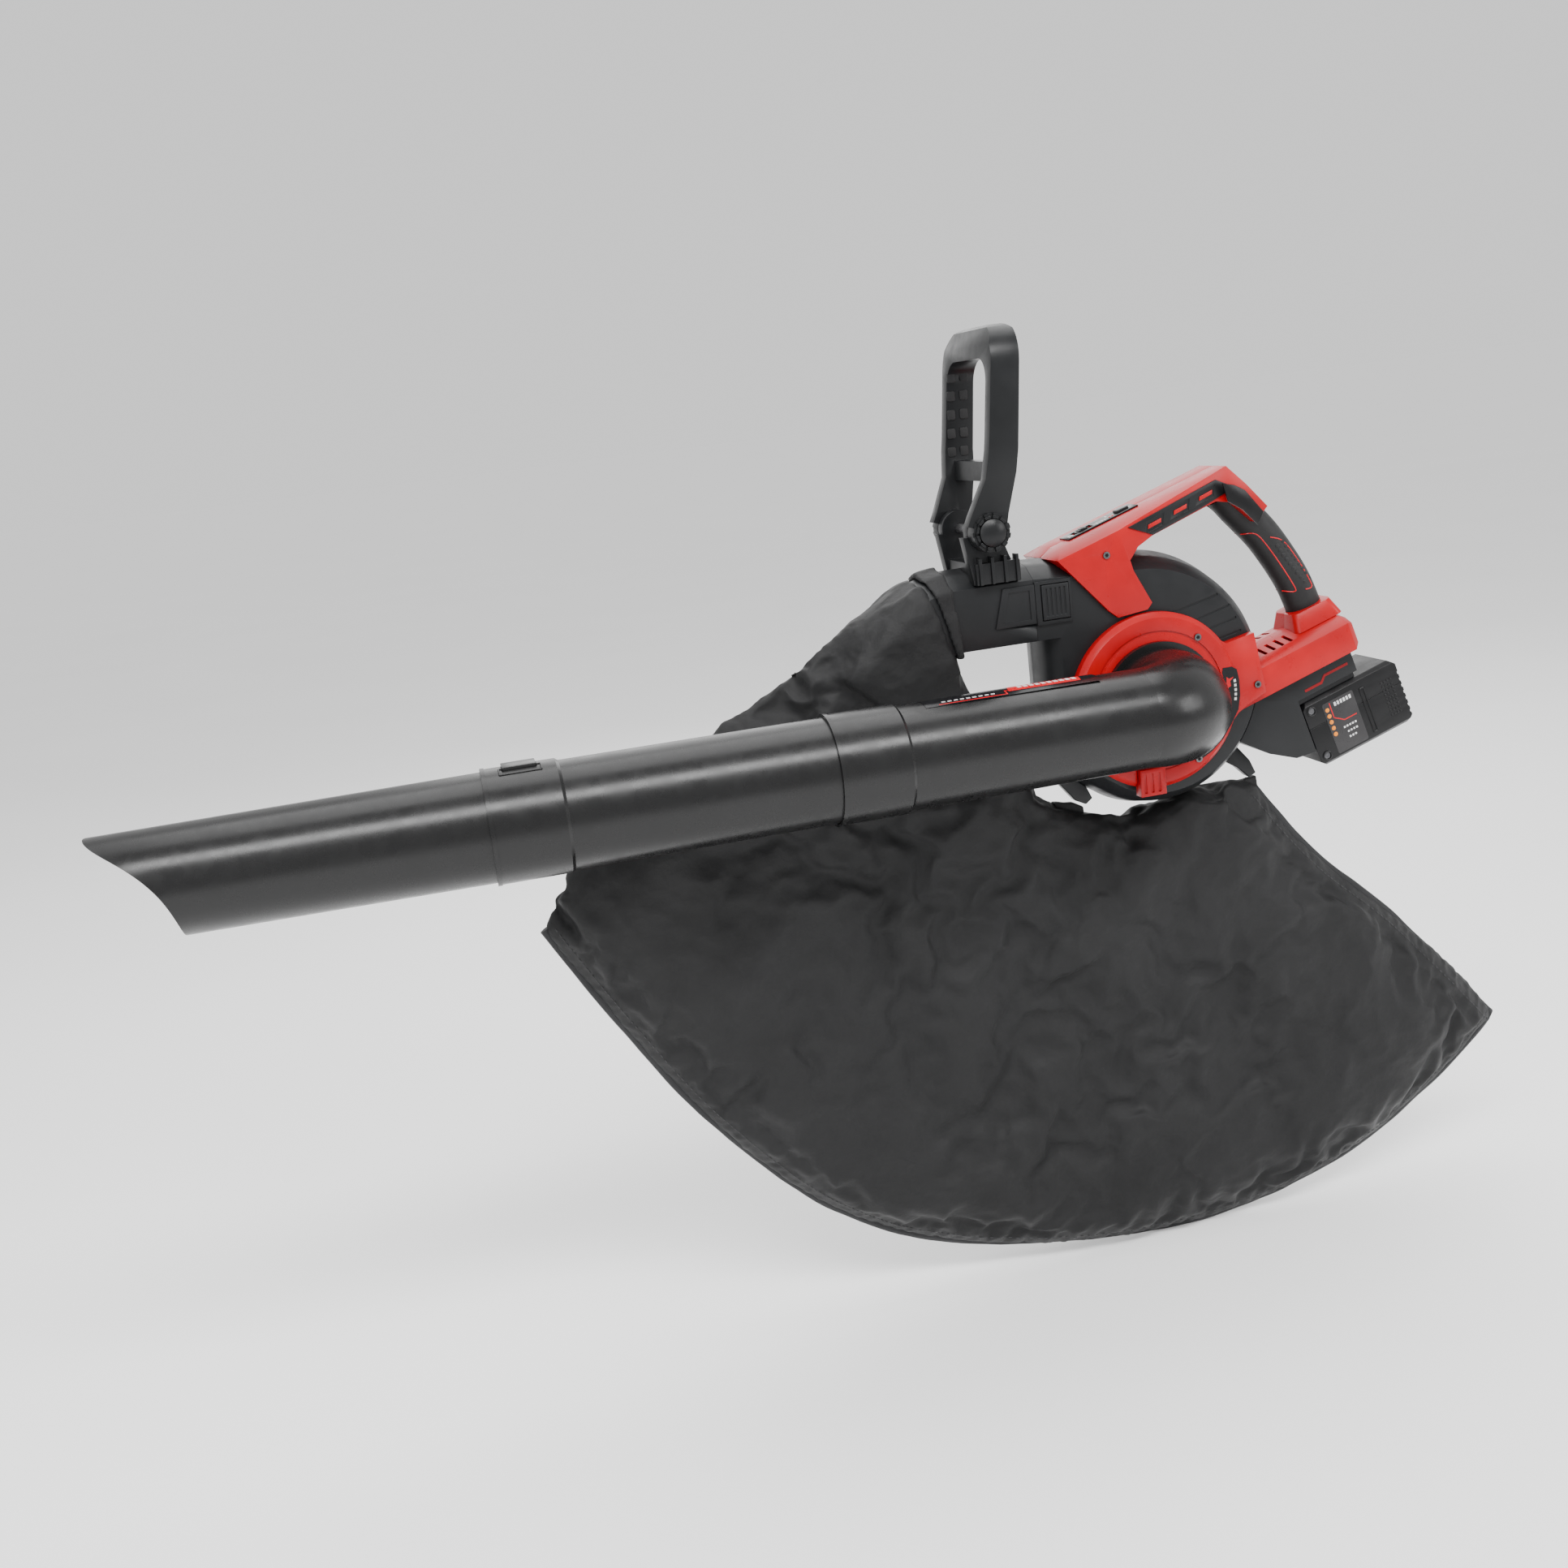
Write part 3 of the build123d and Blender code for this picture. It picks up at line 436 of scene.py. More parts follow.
BAG_HEM = [(-681, -149), (-611, -275), (-530, -401), (-406, -533), (-248, -612), (5, -649), (212, -613),
           (358, -532), (436, -465)]
BAG_REAR = [(436, -465), (303, -311), (209, -221), (137, -128)]
BAG_TOP = [(137, -128), (88, -120), (45, -126), (-15, -136), (-75, -128), (-126, -100)]
BAG_MIDDLE = (-150, -280)
BAG_MOUTH = (-230, 95)              # middle of the sleeve round the duct
NECK_REACH = 0.105                  # the sleeve is closed off this far round its middle
BAG_VOXEL = 0.0062
TOP_LIFT, TOP_LIFT_REACH = 0.006, 0.07
EDGE_HOLD = (0.006, 0.020)          # held fully up to the first distance, then less over the second
SPOT_HOLDS = [(BAG_MOUTH, 0.085, 0.05), ((-78, -128), 0.012, 0.02), ((125, -132), 0.012, 0.02)]
START_RIPPLE = 0.009                # uneven start, so that the cloth folds in more than one way
CAP = 0.016                         # most that the cloth may move from its cut shape
CLOTH_FRAMES = 22
CLOTH_SETTINGS = {
    "quality": 5, "mass": 0.15, "tension_stiffness": 12, "compression_stiffness": 12,
    "shear_stiffness": 4, "bending_stiffness": 0.35, "tension_damping": 8, "compression_damping": 8,
    "use_pressure": True, "uniform_pressure_force": 0.25, "shrink_min": -0.09,
    "vertex_group_mass": "held", "pin_stiffness": 1.0,
}
BROAD_CREASE, SMALL_CREASE = 0.0040, 0.0012
RIDGE_LEVEL = 1.1                   # middle of the ridged noise


def bag_plane(points):
    """Points of the bag's middle plane from their (x, z) in millimetres."""
    return [at(x, MID_FAN, z) for x, z in points]


def bag_blank():
    """The CAD bag with its sleeve closed off, in even quads for the cloth."""
    work = bmesh.new()
    work.from_mesh(NODES["debris_bag"].data)
    mouth = bag_plane([BAG_MOUTH])[0]
    plug = bmesh.new()
    for vert in work.verts:
        if (vert.co - mouth).length < NECK_REACH:
            plug.verts.new(vert.co)
    bmesh.ops.convex_hull(plug, input=plug.verts)
    bmesh.ops.delete(plug, geom=[v for v in plug.verts if not v.link_faces], context="VERTS")
    filler = bpy.data.meshes.new("neck filler")
    plug.to_mesh(filler)
    plug.free()
    work.from_mesh(filler)
    source = bpy.data.meshes.new("bag blank")
    work.to_mesh(source)
    work.free()
    return baked(source, ("REMESH", {"mode": "VOXEL", "voxel_size": BAG_VOXEL}),
                 ("SMOOTH", {"factor": 0.5, "iterations": 6}))


def sewn_edge():
    """A search tree of the line along which the bag's two sides are sewn."""
    line = smooth_line(bag_plane(BAG_HEM + BAG_REAR), 10)
    tree = KDTree(len(line))
    for i, p in enumerate(line):
        tree.insert(p, i)
    tree.balance()
    return tree


def fade(distance, start, reach):
    """1 up to the start, falling to 0 over the reach."""
    return np.clip(1 - (distance - start) / reach, 0, 1)


def held_weights(rest, edge):
    """How firmly each point is held: at the sewn edge, the mouth and the two hooks."""
    held = fade(np.array([edge.find((co[0], 0, co[2]))[2] for co in rest]), *EDGE_HOLD)
    for place, start, reach in SPOT_HOLDS:
        spot = bag_plane([place])[0]
        gap = np.linalg.norm(rest[:, [0, 2]] - np.array([spot.x, spot.z]), axis=1)
        held = np.maximum(held, fade(gap, start, reach))
    return held


def let_out(shell, rest, held):
    """Run the cloth under a little pressure and keep its result, no further than the cap."""
    start = rest.copy()
    for i, co in enumerate(rest):
        p = Vector(co)
        lift = noise.noise(p * 19.0) * 0.6 + noise.noise(p * 43.0 + Vector((5, 1, 7))) * 0.4
        start[i, 1] += (1 - held[i]) * START_RIPPLE * lift
    shell.vertices.foreach_set("co", start.ravel())
    cloth_piece = bpy.data.objects.new("bag cloth", shell)
    bpy.context.scene.collection.objects.link(cloth_piece)
    pins = cloth_piece.vertex_groups.new(name="held")
    for i, weight in enumerate(held):
        pins.add([i], float(weight), "REPLACE")
    modifier = cloth_piece.modifiers.new("cloth", "CLOTH")
    for key, value in CLOTH_SETTINGS.items():
        setattr(modifier.settings, key, value)
    modifier.settings.effector_weights.gravity = 0
    modifier.collision_settings.use_collision = False
    modifier.point_cache.frame_start = 1
    modifier.point_cache.frame_end = CLOTH_FRAMES
    for number in range(1, CLOTH_FRAMES + 1):
        bpy.context.scene.frame_set(number)
    shaped = cloth_piece.evaluated_get(bpy.context.evaluated_depsgraph_get())
    moved = np.empty(len(rest) * 3)
    shaped.data.vertices.foreach_get("co", moved)
    shift = moved.reshape(-1, 3) - rest
    length = np.linalg.norm(shift, axis=1, keepdims=True)
    shift *= CAP * np.tanh(length / CAP) / np.maximum(length, 1e-9)
    shell.vertices.foreach_set("co", (rest + shift).ravel())
    bpy.data.objects.remove(cloth_piece)
    bpy.context.scene.frame_set(1)


def crumple(mesh, edge):
    """Sharp-edged creases of handled polyester, dying out at the sewn edge."""
    count = len(mesh.vertices)
    places = np.empty(count * 3)
    normals = np.empty(count * 3)
    mesh.vertices.foreach_get("co", places)
    mesh.vertex_normals.foreach_get("vector", normals)
    places = places.reshape(-1, 3)
    normals = normals.reshape(-1, 3)
    heights = np.zeros(count)
    for i in range(count):
        p = Vector(places[i])
        q = Vector((p.x, p.y * 2.0, p.z))
        warp = noise.noise_vector(q * 7.0) * 0.055
        broad = noise.ridged_multi_fractal((q + warp) * 8.5, 0.9, 2.1, 3.0, 0.95, 2.0)
        fine_place = (q + warp * 0.6) * 23.0 + Vector((3, 3, 3))
        small = noise.ridged_multi_fractal(fine_place, 0.9, 2.2, 2.0, 0.95, 2.0)
        gap = edge.find((p.x, 0, p.z))[2]
        ease = min(1.0, max(0.0, (gap - 0.008) / 0.04))
        height = (broad - RIDGE_LEVEL) * BROAD_CREASE + (small - RIDGE_LEVEL) * SMALL_CREASE
        heights[i] = height * (0.25 + 0.75 * ease)
    places += normals * heights[:, None]
    mesh.vertices.foreach_set("co", places.ravel())
    mesh.update()


def bag_cloth():
    """The bag's closed shell, let out by the cloth and creased."""
    shell = bag_blank()
    edge = sewn_edge()
    rest = np.array([v.co for v in shell.vertices])
    top_line = smooth_line(bag_plane(BAG_TOP), 8)
    for i, co in enumerate(rest):
        gap = min((Vector((co[0], 0, co[2])) - p).length for p in top_line)
        rest[i, 2] += TOP_LIFT * max(0.0, 1 - gap / TOP_LIFT_REACH)
    let_out(shell, rest, held_weights(rest, edge))
    fine = baked(shell, ("SUBSURF", {"levels": 1, "render_levels": 1}))
    crumple(fine, edge)
    return fine


def hem_line(inset, steps=14):
    """The sewn edge of the bag, from its front corner round to the rear side."""
    line = smooth_line(bag_plane(BAG_HEM), steps) + smooth_line(bag_plane(BAG_REAR), steps)[1:]
    centre = bag_plane([BAG_MIDDLE])[0]
    moved = []
    for i, p in enumerate(line):
        ahead = line[min(i + 1, len(line) - 1)] - line[max(i - 1, 0)]
        inward = Vector((0, -1, 0)).cross(ahead).normalized()
        if inward.dot(centre - p) < 0:
            inward.negate()
        moved.append(p + inward * inset)
    return moved


def hem_binding():
    binding = Build()
    wavy = []
    for p in hem_line(0.0045):
        wavy.append(p + Vector((0, 0.0016 * noise.noise(p * 24.0), 0.0012 * noise.noise(p * 31.0))))
    binding.tube(wavy, 0.0072, sides=10, flat=0.62)
    tape = woven("hem tape", (0.014, 0.014, 0.015), wrinkles=False)
    binding.finish("bag_hem_binding", tape, "machine", 80)


def hem_stitching(skin_mesh):
    """Stitches of even length on both sides of the bag, just inside the binding."""
    stitch_gap, half_stitch, thread = 0.0052, 0.0017, 0.00042
    skin = BVHTree.FromPolygons([v.co for v in skin_mesh.vertices],
                                [tuple(p.vertices) for p in skin_mesh.polygons])
    stitches = Build()
    line = hem_line(0.013, 60)
    travel = 0.0
    for last, p in zip(line, line[1:]):
        travel += (p - last).length
        if travel < stitch_gap:
            continue
        travel = 0.0
        along = (p - last).normalized() * half_stitch
        for side in (-1, 1):
            hit = skin.ray_cast(Vector((p.x, side * 0.2, p.z)), Vector((0, -side, 0)))
            if hit[0] is not None:
                top = hit[0] + Vector((0, side * 0.0003, 0))
                stitches.tube([top - along, top, top + along], thread, sides=5)
    cotton = plastic("bag thread", (0.05, 0.05, 0.052), 0.5)
    stitches.finish("bag_hem_stitching", cotton, "machine", 60)


bag_mesh = bag_cloth()
bag = add_piece("debris_bag_cloth", bag_mesh, MATERIALS["bag_fabric"], "machine")
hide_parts("debris_bag")
hem_binding()
hem_stitching(bag_mesh)


# ---------------------------------------------------------------- cuff and straps

def soft_copy(node, voxel, wave, scale, name):
    """A sewn part with an uneven, hand-worked surface in place of its plain solid."""
    mesh = baked(NODES[node].data.copy(), ("REMESH", {"mode": "VOXEL", "voxel_size": voxel}),
                 ("SMOOTH", {"factor": 0.5, "iterations": 4}))
    for vert in mesh.vertices:
        vert.co += vert.normal * wave * noise.noise(vert.co * scale)
    piece = add_piece(name, mesh, MATERIALS["bag_fabric"], BODY_OF[node])
    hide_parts(node)


soft_copy("bag_cuff", 0.0022, 0.0030, 38.0, "bag_cuff_cloth")
soft_copy("bag_strap_front", 0.0012, 0.0010, 90.0, "bag_strap_front_webbing")
soft_copy("bag_strap_rear", 0.0012, 0.0010, 90.0, "bag_strap_rear_webbing")


# ---------------------------------------------------------------- labels on the tube and the ring

LABEL_BLACK = plastic("label black", (0.006, 0.006, 0.007), 0.18)
LABEL_GREY = plastic("label grey", (0.030, 0.029, 0.030), 0.3)
LABEL_RED = plastic("label red", (0.50, 0.002, 0.008), 0.25)
LABEL_WHITE = plastic("label white", (0.55, 0.55, 0.55), 0.35)
LABEL_AMBER = plastic("label amber", (0.75, 0.22, 0.01), 0.3)
DARK_RED = plastic("label dark red", (0.16, 0.001, 0.003), 0.3)
NEAR = (0, -1, 0)                   # towards the near side

TUBE_Y, TUBE_Z, TUBE_R = -85.0, 4.0, 52.6
RED_LIFT, WHITE_LIFT = 0.2, 0.26
PRINT = 0.0001                      # thickness of a printed mark


def tube_point(x, angle, lift):
    """A point on the upper suction tube; the angle is from its top towards the near side."""
    a = math.radians(angle)
    r = TUBE_R + lift
    return at(x, TUBE_Y - r * math.sin(a), TUBE_Z + r * math.cos(a))


def tube_film(build, x_low, x_high, angle_low, angle_high, lift, slant=0.0):
    """A thin film wrapped on the tube, with slanted ends if asked."""
    columns, rows = 8, 10
    grid = []
    for i in range(columns + 1):
        row = []
        for j in range(rows + 1):
            angle = angle_low + (angle_high - angle_low) * j / rows
            x = x_low + (x_high - x_low) * i / columns + slant * j / rows
            row.append(build.work.verts.new(tube_point(x, angle, lift)))
        grid.append(row)
    for i in range(columns):
        for j in range(rows):
            build.work.faces.new([grid[i][j], grid[i][j + 1], grid[i + 1][j + 1], grid[i + 1][j]])


def tube_label():
    base = Build()
    tube_film(base, -290, -108, -34, 20, 0.12)
    base.finish("tube_label_base", LABEL_BLACK, "machine")
    red = Build()
    tube_film(red, -276, -206, 16.2, 17.6, RED_LIFT)
    tube_film(red, -206, -204.6, 7, 17.6, RED_LIFT)
    tube_film(red, -204.6, -196, 7, 8.4, RED_LIFT)
    tube_film(red, -196, -120, -22, 11.5, RED_LIFT, slant=-6)
    red.finish("tube_label_red", LABEL_RED, "machine")
    pitch = 6.4
    bars = Build()
    for i in range(9):
        tube_film(bars, -272 + pitch * i, -268 + pitch * i, 10.5, 13.2, WHITE_LIFT)
    for i in range(10):
        tube_film(bars, -190 + pitch * i, -185.6 + pitch * i, -4, 5, WHITE_LIFT)
    bars.finish("tube_label_marks", LABEL_WHITE, "machine")


def ring_point(radius, angle, y):
    a = math.radians(angle)
    return at(radius * math.cos(a), y, radius * math.sin(a))


def ring_label():
    """A curved sticker on the intake ring, with two rows of bars and a small flame."""
    label_y, mark_y = -0.18, -0.4
    outer = [(-58, 84), (-48, 86.5), (-36, 89), (-24, 91), (-14, 94.6), (-4, 94.9), (6, 94.9),
             (13, 94.6), (16, 90), (18, 80)]
    inner = [(angle, 77.5) for angle in range(15, -58, -4)]
    sticker = Build()
    sticker.prism([ring_point(radius, angle, label_y) for angle, radius in outer + inner], NEAR, 0.0002)
    sticker.finish("ring_label", LABEL_BLACK, "machine")
    bars = Build()
    inner_row = (14, -54, 3.0, 1.7, 80.0, 82.6)
    outer_row = (5, -8, 3.2, 2.0, 88.2, 91.0)
    for count, first, pitch, width, low, high in (inner_row, outer_row):
        for i in range(count):
            angle = first + pitch * i
            corners = ((low, angle), (low, angle + width), (high, angle + width), (high, angle))
            bars.prism([ring_point(radius, a, mark_y) for radius, a in corners], NEAR, PRINT)
    bars.finish("ring_label_marks", LABEL_WHITE, "machine")
    flame = Build()
    tongue = ((80.5, 2), (84.5, 4), (83.6, 9), (88, 13.5), (82.5, 12), (79.6, 14.5), (79.5, 8))
    flame.prism([at(x, mark_y, z) for x, z in tongue], NEAR, PRINT)
    flame.finish("ring_label_red", LABEL_RED, "machine")


tube_label()
ring_label()


# ---------------------------------------------------------------- battery details

PACK_FACE = 25.0
DOCK_FACE = 23.85
MARK_LIFT = 0.32
CASE_SCREWS = ((169.5, -103), (169.5, -159))


def pack_plate(build, corners, lift, height=0.12, bevel=0.0):
    build.prism([tilt(u, v, PACK_FACE - lift) for u, v in corners], NEAR, height / 1000, bevel / 1000)


def rounded_box(u_low, u_high, v_low, v_high, r, steps=5):
    corners = []
    for cu, cv, start in ((u_high - r, v_high - r, 0), (u_low + r, v_high - r, 90),
                          (u_low + r, v_low + r, 180), (u_high - r, v_low + r, 270)):
        for step in range(steps + 1):
            a = math.radians(start + 90 * step / steps)
            corners.append((cu + r * math.cos(a), cv + r * math.sin(a)))
    return corners


def plain_box(u_low, u_high, v_low, v_high):
    return [(u_low, v_low), (u_high, v_low), (u_high, v_high), (u_low, v_high)]


def battery_label():
    label = Build()
    pack_plate(label, rounded_box(183, 223, -164, -102, 2.5), 0.05, 0.25, 0.08)
    label.finish("battery_label", LABEL_GREY, "battery")
    line = Build()
    half_width = 0.55
    route = [(192, -104), (192, -122), (203, -130), (219, -130)]
    for (ua, va), (ub, vb) in zip(route, route[1:]):
        along = Vector((ub - ua, vb - va)).normalized()
        off = Vector((-along.y, along.x)) * half_width
        pack_plate(line, [(ua + off.x, va + off.y), (ua - off.x, va - off.y), (ub - off.x, vb - off.y),
                          (ub + off.x, vb + off.y)], MARK_LIFT)
    line.finish("battery_label_line", LABEL_RED, "battery")
    lights = Build()
    for i in range(5):
        lights.turned(tilt(187.3, -110.5 - 7.5 * i, PACK_FACE - 0.2), NEAR,
                      [(0.0025, 0), (0.0025, 0.0004), (0.0018, 0.0008), (0, 0.0009)], 20)
    lights.finish("battery_charge_lights", LABEL_AMBER, "battery")
    bars = Build()
    for i in range(6):
        pack_plate(bars, plain_box(197 + 3.9 * i, 199.6 + 3.9 * i, -110, -105.5), MARK_LIFT)
    for row, (count, start) in enumerate(((5, 199), (4, 202), (3, 202))):
        v = -138 - 6.5 * row
        for i in range(count):
            bar = plain_box(start + 3.6 * i, start + 2.2 + 3.6 * i, v - 1.1, v + 1.1)
            pack_plate(bars, bar, MARK_LIFT)
    bars.finish("battery_label_marks", LABEL_WHITE, "battery")


def battery_case_marks():
    """A raised border, a field of small studs, and a collar and head for each screw."""
    relief = Build()
    line_y = PACK_FACE - 0.1
    left, right, top, foot = 231.6, 236.4, -106, -160
    for a, b in (((left, top), (left, foot)), ((right, top), (right, foot)), ((left, top), (right, top)),
                 ((left, foot), (right, foot))):
        relief.tube([tilt(*a, line_y), tilt(*b, line_y)], 0.0011, 10)
    for column in range(4):
        for row in range(9):
            relief.turned(tilt(258.5 + 3.9 * column, -112 - 5.0 * row, PACK_FACE - 0.02), NEAR,
                          [(0.0016, -0.0002), (0.0014, 0.0003), (0.0009, 0.0007), (0, 0.0008)], 12)
    for u, v in CASE_SCREWS:
        relief.turned(tilt(u, v, PACK_FACE), NEAR, [(0.0056, -0.0003), (0.0056, 0.0008), (0.0048, 0.0012),
                                                    (0.0040, 0.0008), (0.0040, 0.0001), (0, 0.0001)], 28)
    relief.finish("battery_case_marks", MATERIALS["battery_black"], "battery")
    heads = Build()
    for u, v in CASE_SCREWS:
        heads.turned(tilt(u, v, PACK_FACE), NEAR, [(0.0037, 0.0001), (0.0034, 0.0003), (0.0016, 0.0003),
                                                   (0, 0.0001)], 20)
    heads.finish("battery_screws", metal("dark screw", (0.10, 0.10, 0.105), 0.35), "battery")


def dock_stripe():
    stripe = Build()
    outline = [(170, -79), (192, -79), (198, -73), (228, -73),
               (228, -70), (197, -70), (191, -76), (170, -76)]
    stripe.prism([tilt(u, v, DOCK_FACE) for u, v in outline], NEAR, 0.00015)
    stripe.finish("dock_stripe", DARK_RED, "machine")


battery_label()
battery_case_marks()
dock_stripe()


# ---------------------------------------------------------------- grip, handle and housing details

GRIP_LOOPS = [
    [(134, 158.5), (146.8, 157.6), (157.6, 146.3), (175.3, 119.8), (190.5, 93.5), (190.5, 88),
     (180.5, 89.5)],
    [(163.4, 152), (180.6, 144.5), (198.0, 120.5), (211.0, 96.5), (211.5, 90), (203.0, 89)],
]
UPWARDS = tilt(0, 1, 0) - tilt(0, 0, 0)        # square to the control panel
PANEL_FACE = 192.62


def on_skin(skin, x, z, start_y, direction, lift):
    """The point where a line along Y first meets the surface, lifted off it a little."""
    hit = skin.ray_cast(at(x, start_y, z), Vector((0, direction, 0)))
    if hit[0] is None:
        return None
    return hit[0] + hit[1].normalized() * (lift / 1000)


def grip_details(side, start_y, direction):
    """Red piping and a field of soft bumps on one side of the rear grip."""
    skin = surface_of("rear_grip_near", "rear_grip_far")
    piping = Build()
    for loop in GRIP_LOOPS:
        line = smooth_line([Vector((x, 0, z)) for x, z in loop], 7)
        found = [on_skin(skin, p.x, p.z, start_y, direction, 0.10) for p in line]
        found = [p for p in found if p is not None]
        if len(found) > 3:
            piping.tube(found, 0.00062, 8)
    piping.finish("rear_grip_piping_" + side, LABEL_RED, "machine")
    bumps = Build()
    for row in range(9):
        t = row / 8
        for column in (0, 1):
            x = 171.5 + 31.0 * t + 7.0 * column - 4.5 * t * (1 - t)
            z = 141.5 - 44.0 * t + 3.6 * column
            found = on_skin(skin, x, z, start_y, direction, 0.0)
            if found is not None:
                bumps.turned(found, (0, -direction, 0),
                             [(0.0026, -0.0012), (0.0024, 0.0003), (0.0014, 0.0009), (0, 0.0010)], 14)
    bumps.finish("rear_grip_bumps_" + side, MATERIALS["grip_rubber"], "machine")


def front_handle_pads():
    """Two columns of soft pads down the front handle's leg."""
    skin = surface_of("front_handle")
    pads = Build()
    for row in range(5):
        z = 362.0 - 19.6 * row
        for x in (-159.0 - 1.5 * row, -144.5 - 1.6 * row):
            found = on_skin(skin, x, z, 60, 1, 0.0)
            if found is not None:
                outline = [found + Vector((u / 1000, 0.0004, v / 1000))
                           for u, v in rounded_box(-4.6, 4.6, -5.4, 5.4, 2.2)]
                pads.prism(outline, NEAR, 0.0019, 0.0009, 3)
    pads.finish("front_handle_pads", MATERIALS["grip_rubber"], "front_handle")


def pivot_ring(side_name, side):
    """A ring of twelve teeth round a pivot knob."""
    knob_low, knob_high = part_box("pivot_knob_near")
    knob_radius = (knob_high[0] - knob_low[0]) / 2
    low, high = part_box("pivot_knob_" + side_name)
    centre = Vector(((low[0] + high[0]) / 2, 0, (low[2] + high[2]) / 2))
    ring_y = (low[1] if side < 0 else high[1]) - side * 0.0070
    teeth = Build()
    for i in range(12):
        angles = [math.radians(30 * i + 4 + 22 * step / 4) for step in range(5)]
        arc = [Vector((math.cos(a), 0, math.sin(a))) for a in angles]
        inner = [centre + way * (knob_radius + 0.0008) for way in arc]
        outer = [centre + way * (knob_radius + 0.0036) for way in reversed(arc)]
        teeth.prism([Vector((p.x, ring_y, p.z)) for p in inner + outer], (0, side, 0), 0.0024, 0.0005)
    teeth.finish("pivot_ring_" + side_name, MATERIALS["handle_black"], "front_handle")


def elbow_flange():
    flange = Build()
    profile = [(0.0560, 0.0), (0.0635, -0.0002), (0.0635, 0.0022), (0.0618, 0.0036), (0.0590, 0.0042),
               (0.0575, 0.0060), (0.0555, 0.0066), (0.0545, 0.0060)]
    flange.turned(at(0, 0, 0), NEAR, profile, 96)
    flange.finish("elbow_flange", MATERIALS["tube_black"], "machine")


def tube_mould_marks():
    """A raised frame round the tube's catch and a round mark on the tube's near side."""
    relief = Build()
    front, rear, low, high = -703, -664, 8, 21
    for a, b in (((front, low), (rear, low)), ((rear, low), (rear, high)), ((rear, high), (front, high)),
                 ((front, high), (front, low))):
        run = [(a[0] + (b[0] - a[0]) * i / 8, a[1] + (b[1] - a[1]) * i / 8) for i in range(9)]
        relief.tube([tube_point(x, angle, 2.5) for x, angle in run], 0.0008, 8)
    relief.turned(at(-748.6, TUBE_Y - 50.2, 12), (0, -1, 0.14),
                  [(0.0085, -0.0006), (0.0078, 0.0004), (0.0052, 0.0002), (0.0, -0.0001)], 30)
    relief.finish("tube_mould_marks", MATERIALS["tube_black"], "machine")


def control_panel_marks():
    bars = Build()
    for u, size, y_low, y_high in ((28, 1.2, 51, 58), (31, 1.2, 51, 56), (34, 1.2, 51, 58),
                                   (37, 1.2, 51, 55), (43, 1.6, 62, 68), (-6, 1.5, 52, 60),
                                   (-3, 1.5, 52, 57)):
        corners = plain_box(u, u + size, y_low, y_high)
        bars.prism([tilt(x, PANEL_FACE, y) for x, y in corners], UPWARDS, 0.12)
    bars.finish("control_panel_marks", LABEL_WHITE, "machine")
    lights = Build()
    for u in (44, 47.5):
        lights.turned(tilt(u, 192.6, 54), UPWARDS,
                      [(0.0012, 0), (0.0012, 0.0003), (0.0006, 0.0006), (0, 0.0007)], 14)
    lights.finish("control_panel_lights", LABEL_RED, "machine")


def screw_socket_painted_shade():
    """A dark six-pointed flat sheet on each housing screw: painted shade where its socket's hollow would
    be.
    """
    sockets = Build()
    for x, y, z in ((-43.7, 8.38, 162.0), (49.0, -1.62, 62.5), (118.0, 2.38, 0.0), (41.8, -1.62, -70.2)):
        star = []
        for i in range(12):
            a = math.radians(30 * i)
            r = 2.3 if i % 2 == 0 else 1.6
            star.append(at(x + r * math.cos(a), y, z + r * math.sin(a)))
        # painted shade: each near-black star is a thin flat sheet on the screw head, not a real recess
        sockets.prism(star, NEAR, 0.00012)
    shadow = plastic("socket shadow", (0.003, 0.003, 0.003), 0.8)
    sockets.finish("screw_socket_painted_shade", shadow, "machine")
    NODES["housing_screws"].data.materials[0] = metal("black screw", (0.14, 0.14, 0.145), 0.34)


grip_details("near", -40, 1)
grip_details("far", 160, -1)
front_handle_pads()
pivot_ring("near", -1)
pivot_ring("far", 1)
elbow_flange()
tube_mould_marks()
control_panel_marks()
screw_socket_painted_shade()


# ---------------------------------------------------------------- grip shoulder

BAR_FLAT_X, BAR_FLAT_Y = 30.0, 10.0          # the bar's sides are parallel up to here, then draw in
BAR_TAPER = 28.0 / 210.0
SHOULDER = [(97, 219), (111.6, 215.6), (124.5, 208.8), (147, 182.5), (139, 169.5), (121, 188.0),
            (103, 199.0)]

for side_name, side in (("near", -1), ("far", 1)):
    shoulder = Build()
    placed = []
    for x, z in SHOULDER:
        y = BAR_FLAT_Y + (x - BAR_FLAT_X) * BAR_TAPER - 0.2
        placed.append(at(x, y if side < 0 else 2 * MID_FAN - y, z))
    lean = Vector((-BAR_TAPER * side, side, 0)).normalized()
    shoulder.prism(placed, lean, 0.0016, 0.0008, 3)
    shoulder.finish("grip_shoulder_" + side_name, MATERIALS["panel_black"], "machine")


# ---------------------------------------------------------------- camera, light, floor

CAMERA_PLACE = (-738.4, -1590.1, 351.2)
VIEW = Vector((0.1925, 0.9554, -0.2239)).normalized()
RIGHTWARDS = Vector((0.9678, -0.2226, -0.1179))
FOCAL_WIDTHS = 2000 / 1932                   # focal length over the image's width
SENSOR = 36.0

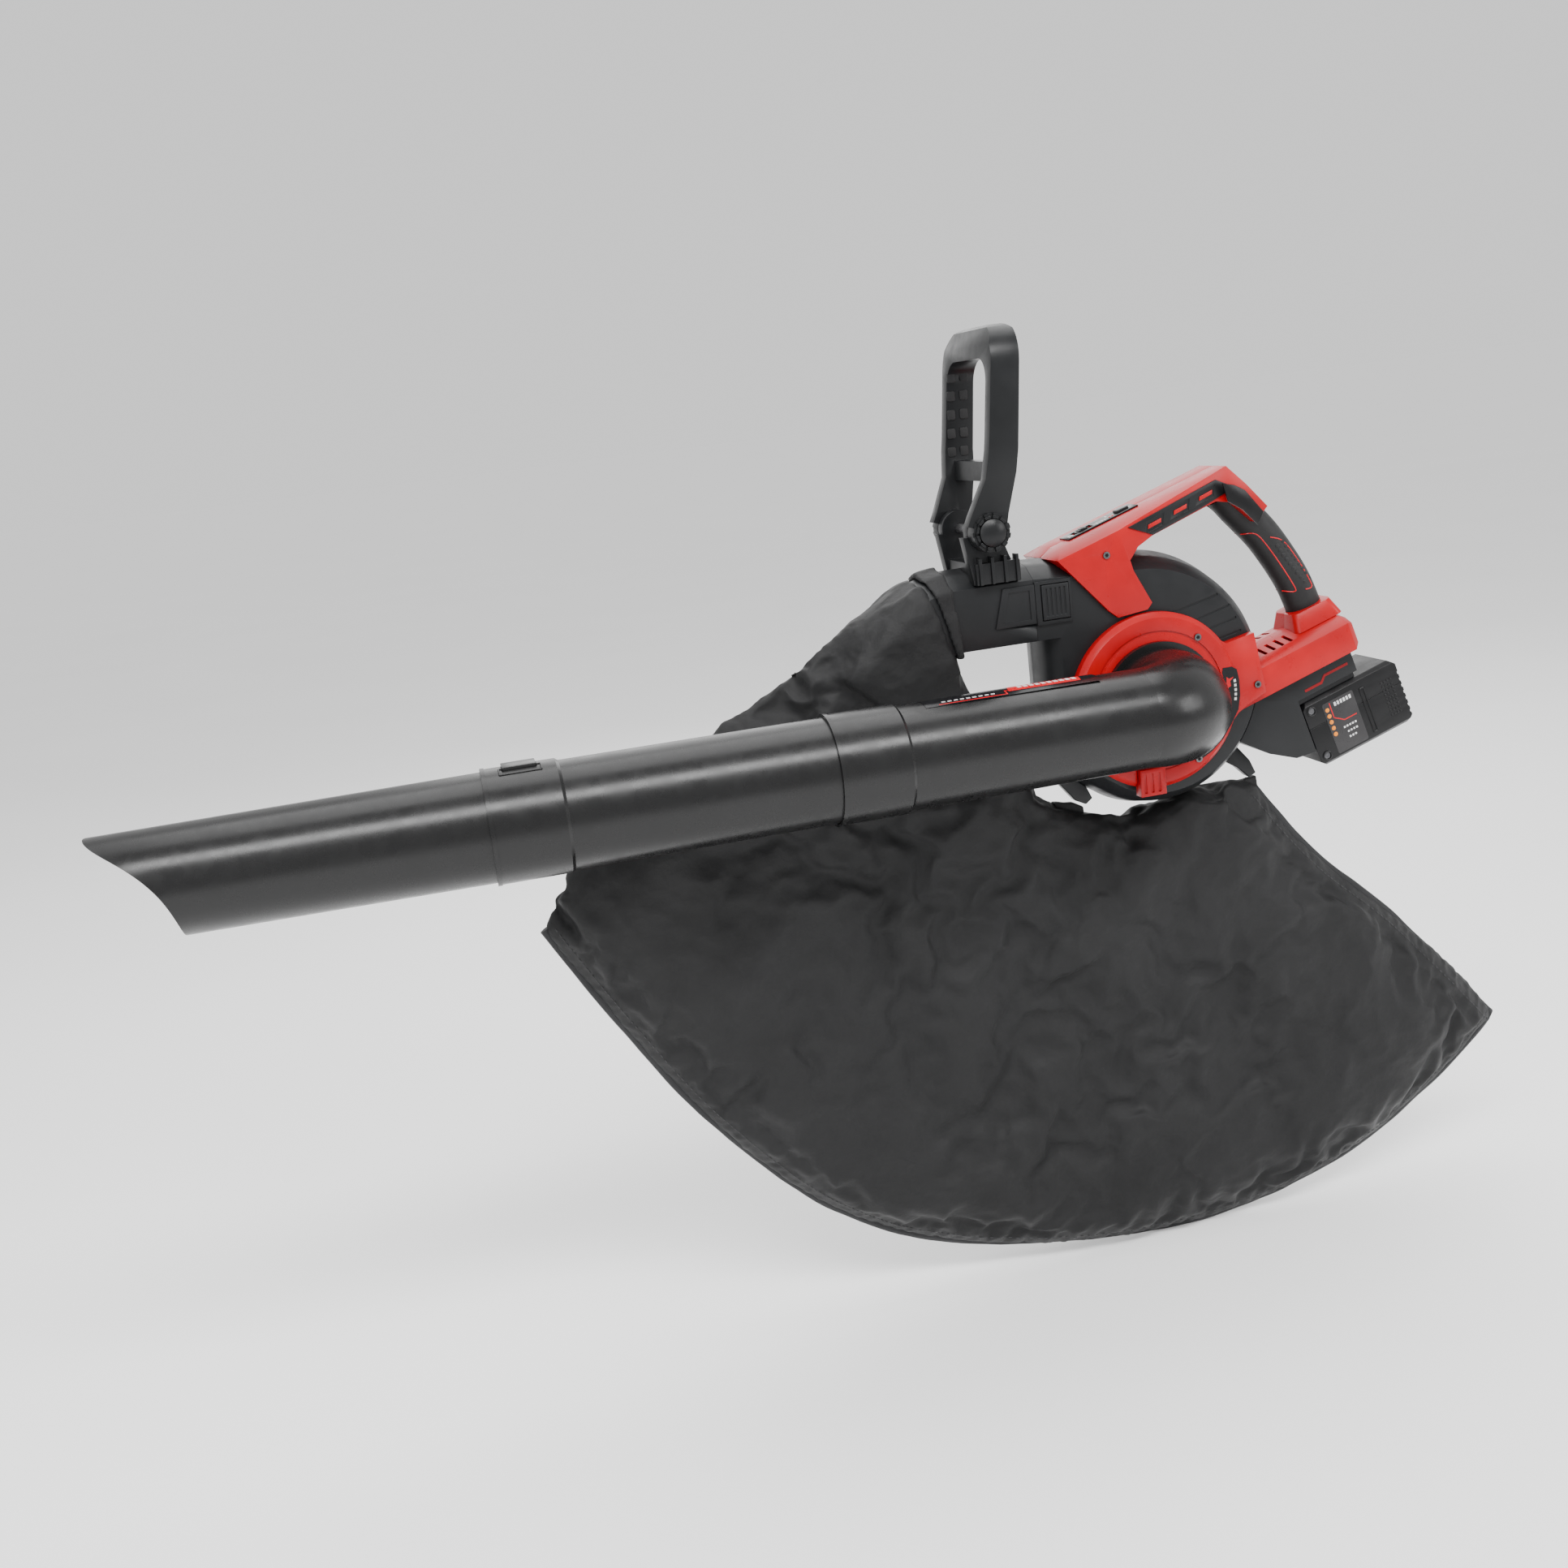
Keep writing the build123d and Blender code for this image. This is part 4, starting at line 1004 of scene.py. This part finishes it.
right = (RIGHTWARDS - VIEW * RIGHTWARDS.dot(VIEW)).normalized()
up = right.cross(VIEW).normalized()
turn = Matrix((right, up, -VIEW)).transposed()
camera = bpy.data.objects.new("camera", bpy.data.cameras.new("camera"))
bpy.context.scene.collection.objects.link(camera)
camera.matrix_world = Matrix.Translation(at(*CAMERA_PLACE)) @ turn.to_4x4()
camera.data.lens = SENSOR * FOCAL_WIDTHS
camera.data.sensor_width = SENSOR
camera.data.clip_end = 200
bpy.context.scene.camera = camera


def area_light(name, place, width, height, power):
    """A soft box that faces the object."""
    lamp = bpy.data.lights.new(name, "AREA")
    lamp.shape = "RECTANGLE"
    lamp.size = width
    lamp.size_y = height
    lamp.energy = power
    light = bpy.data.objects.new(name, lamp)
    bpy.context.scene.collection.objects.link(light)
    light.location = place
    light.rotation_euler = (MIDDLE - Vector(place)).normalized().to_track_quat("-Z", "Y").to_euler()


MIDDLE = Vector((-0.3, 0.0, -0.1))
area_light("key strip", (-0.5, -2.1, 2.3), 3.4, 0.7, 150)
area_light("overhead", (-0.3, 0.7, 2.6), 3.0, 2.0, 62)
area_light("front left", (-2.6, -2.0, 0.7), 1.4, 1.4, 22)
area_light("front right", (2.2, -1.7, 0.9), 1.2, 1.2, 30)
area_light("behind", (0.2, 2.6, 1.4), 2.4, 2.4, 30)

world = bpy.data.worlds.new("studio")
world.use_nodes = True
world.node_tree.nodes["Background"].inputs[0].default_value = (1, 1, 1, 1)
world.node_tree.nodes["Background"].inputs[1].default_value = 1.0
bpy.context.scene.world = world

floor_shader = Shader("studio floor", (0.92, 0.92, 0.92), 0.85)
floor_shader.set("Emission Color", (1, 1, 1, 1))
floor_shader.set("Emission Strength", 0.08)
floor_shader.tint(floor_shader.noise(1.5, 2.0), (0.91, 0.91, 0.91), (0.93, 0.93, 0.93))
floor_mesh = bpy.data.meshes.new("floor")
floor_reach = 60.0                           # far enough that its edge isn't seen
floor_z = cad_box[0][2] - 0.002
corners = [(x * floor_reach, y * floor_reach, floor_z) for x, y in ((-1, -1), (1, -1), (1, 1), (-1, 1))]
floor_mesh.from_pydata(corners, [], [(0, 1, 2, 3)])
floor_mesh.materials.append(floor_shader.mat)
floor = bpy.data.objects.new("floor", floor_mesh)
bpy.context.scene.collection.objects.link(floor)
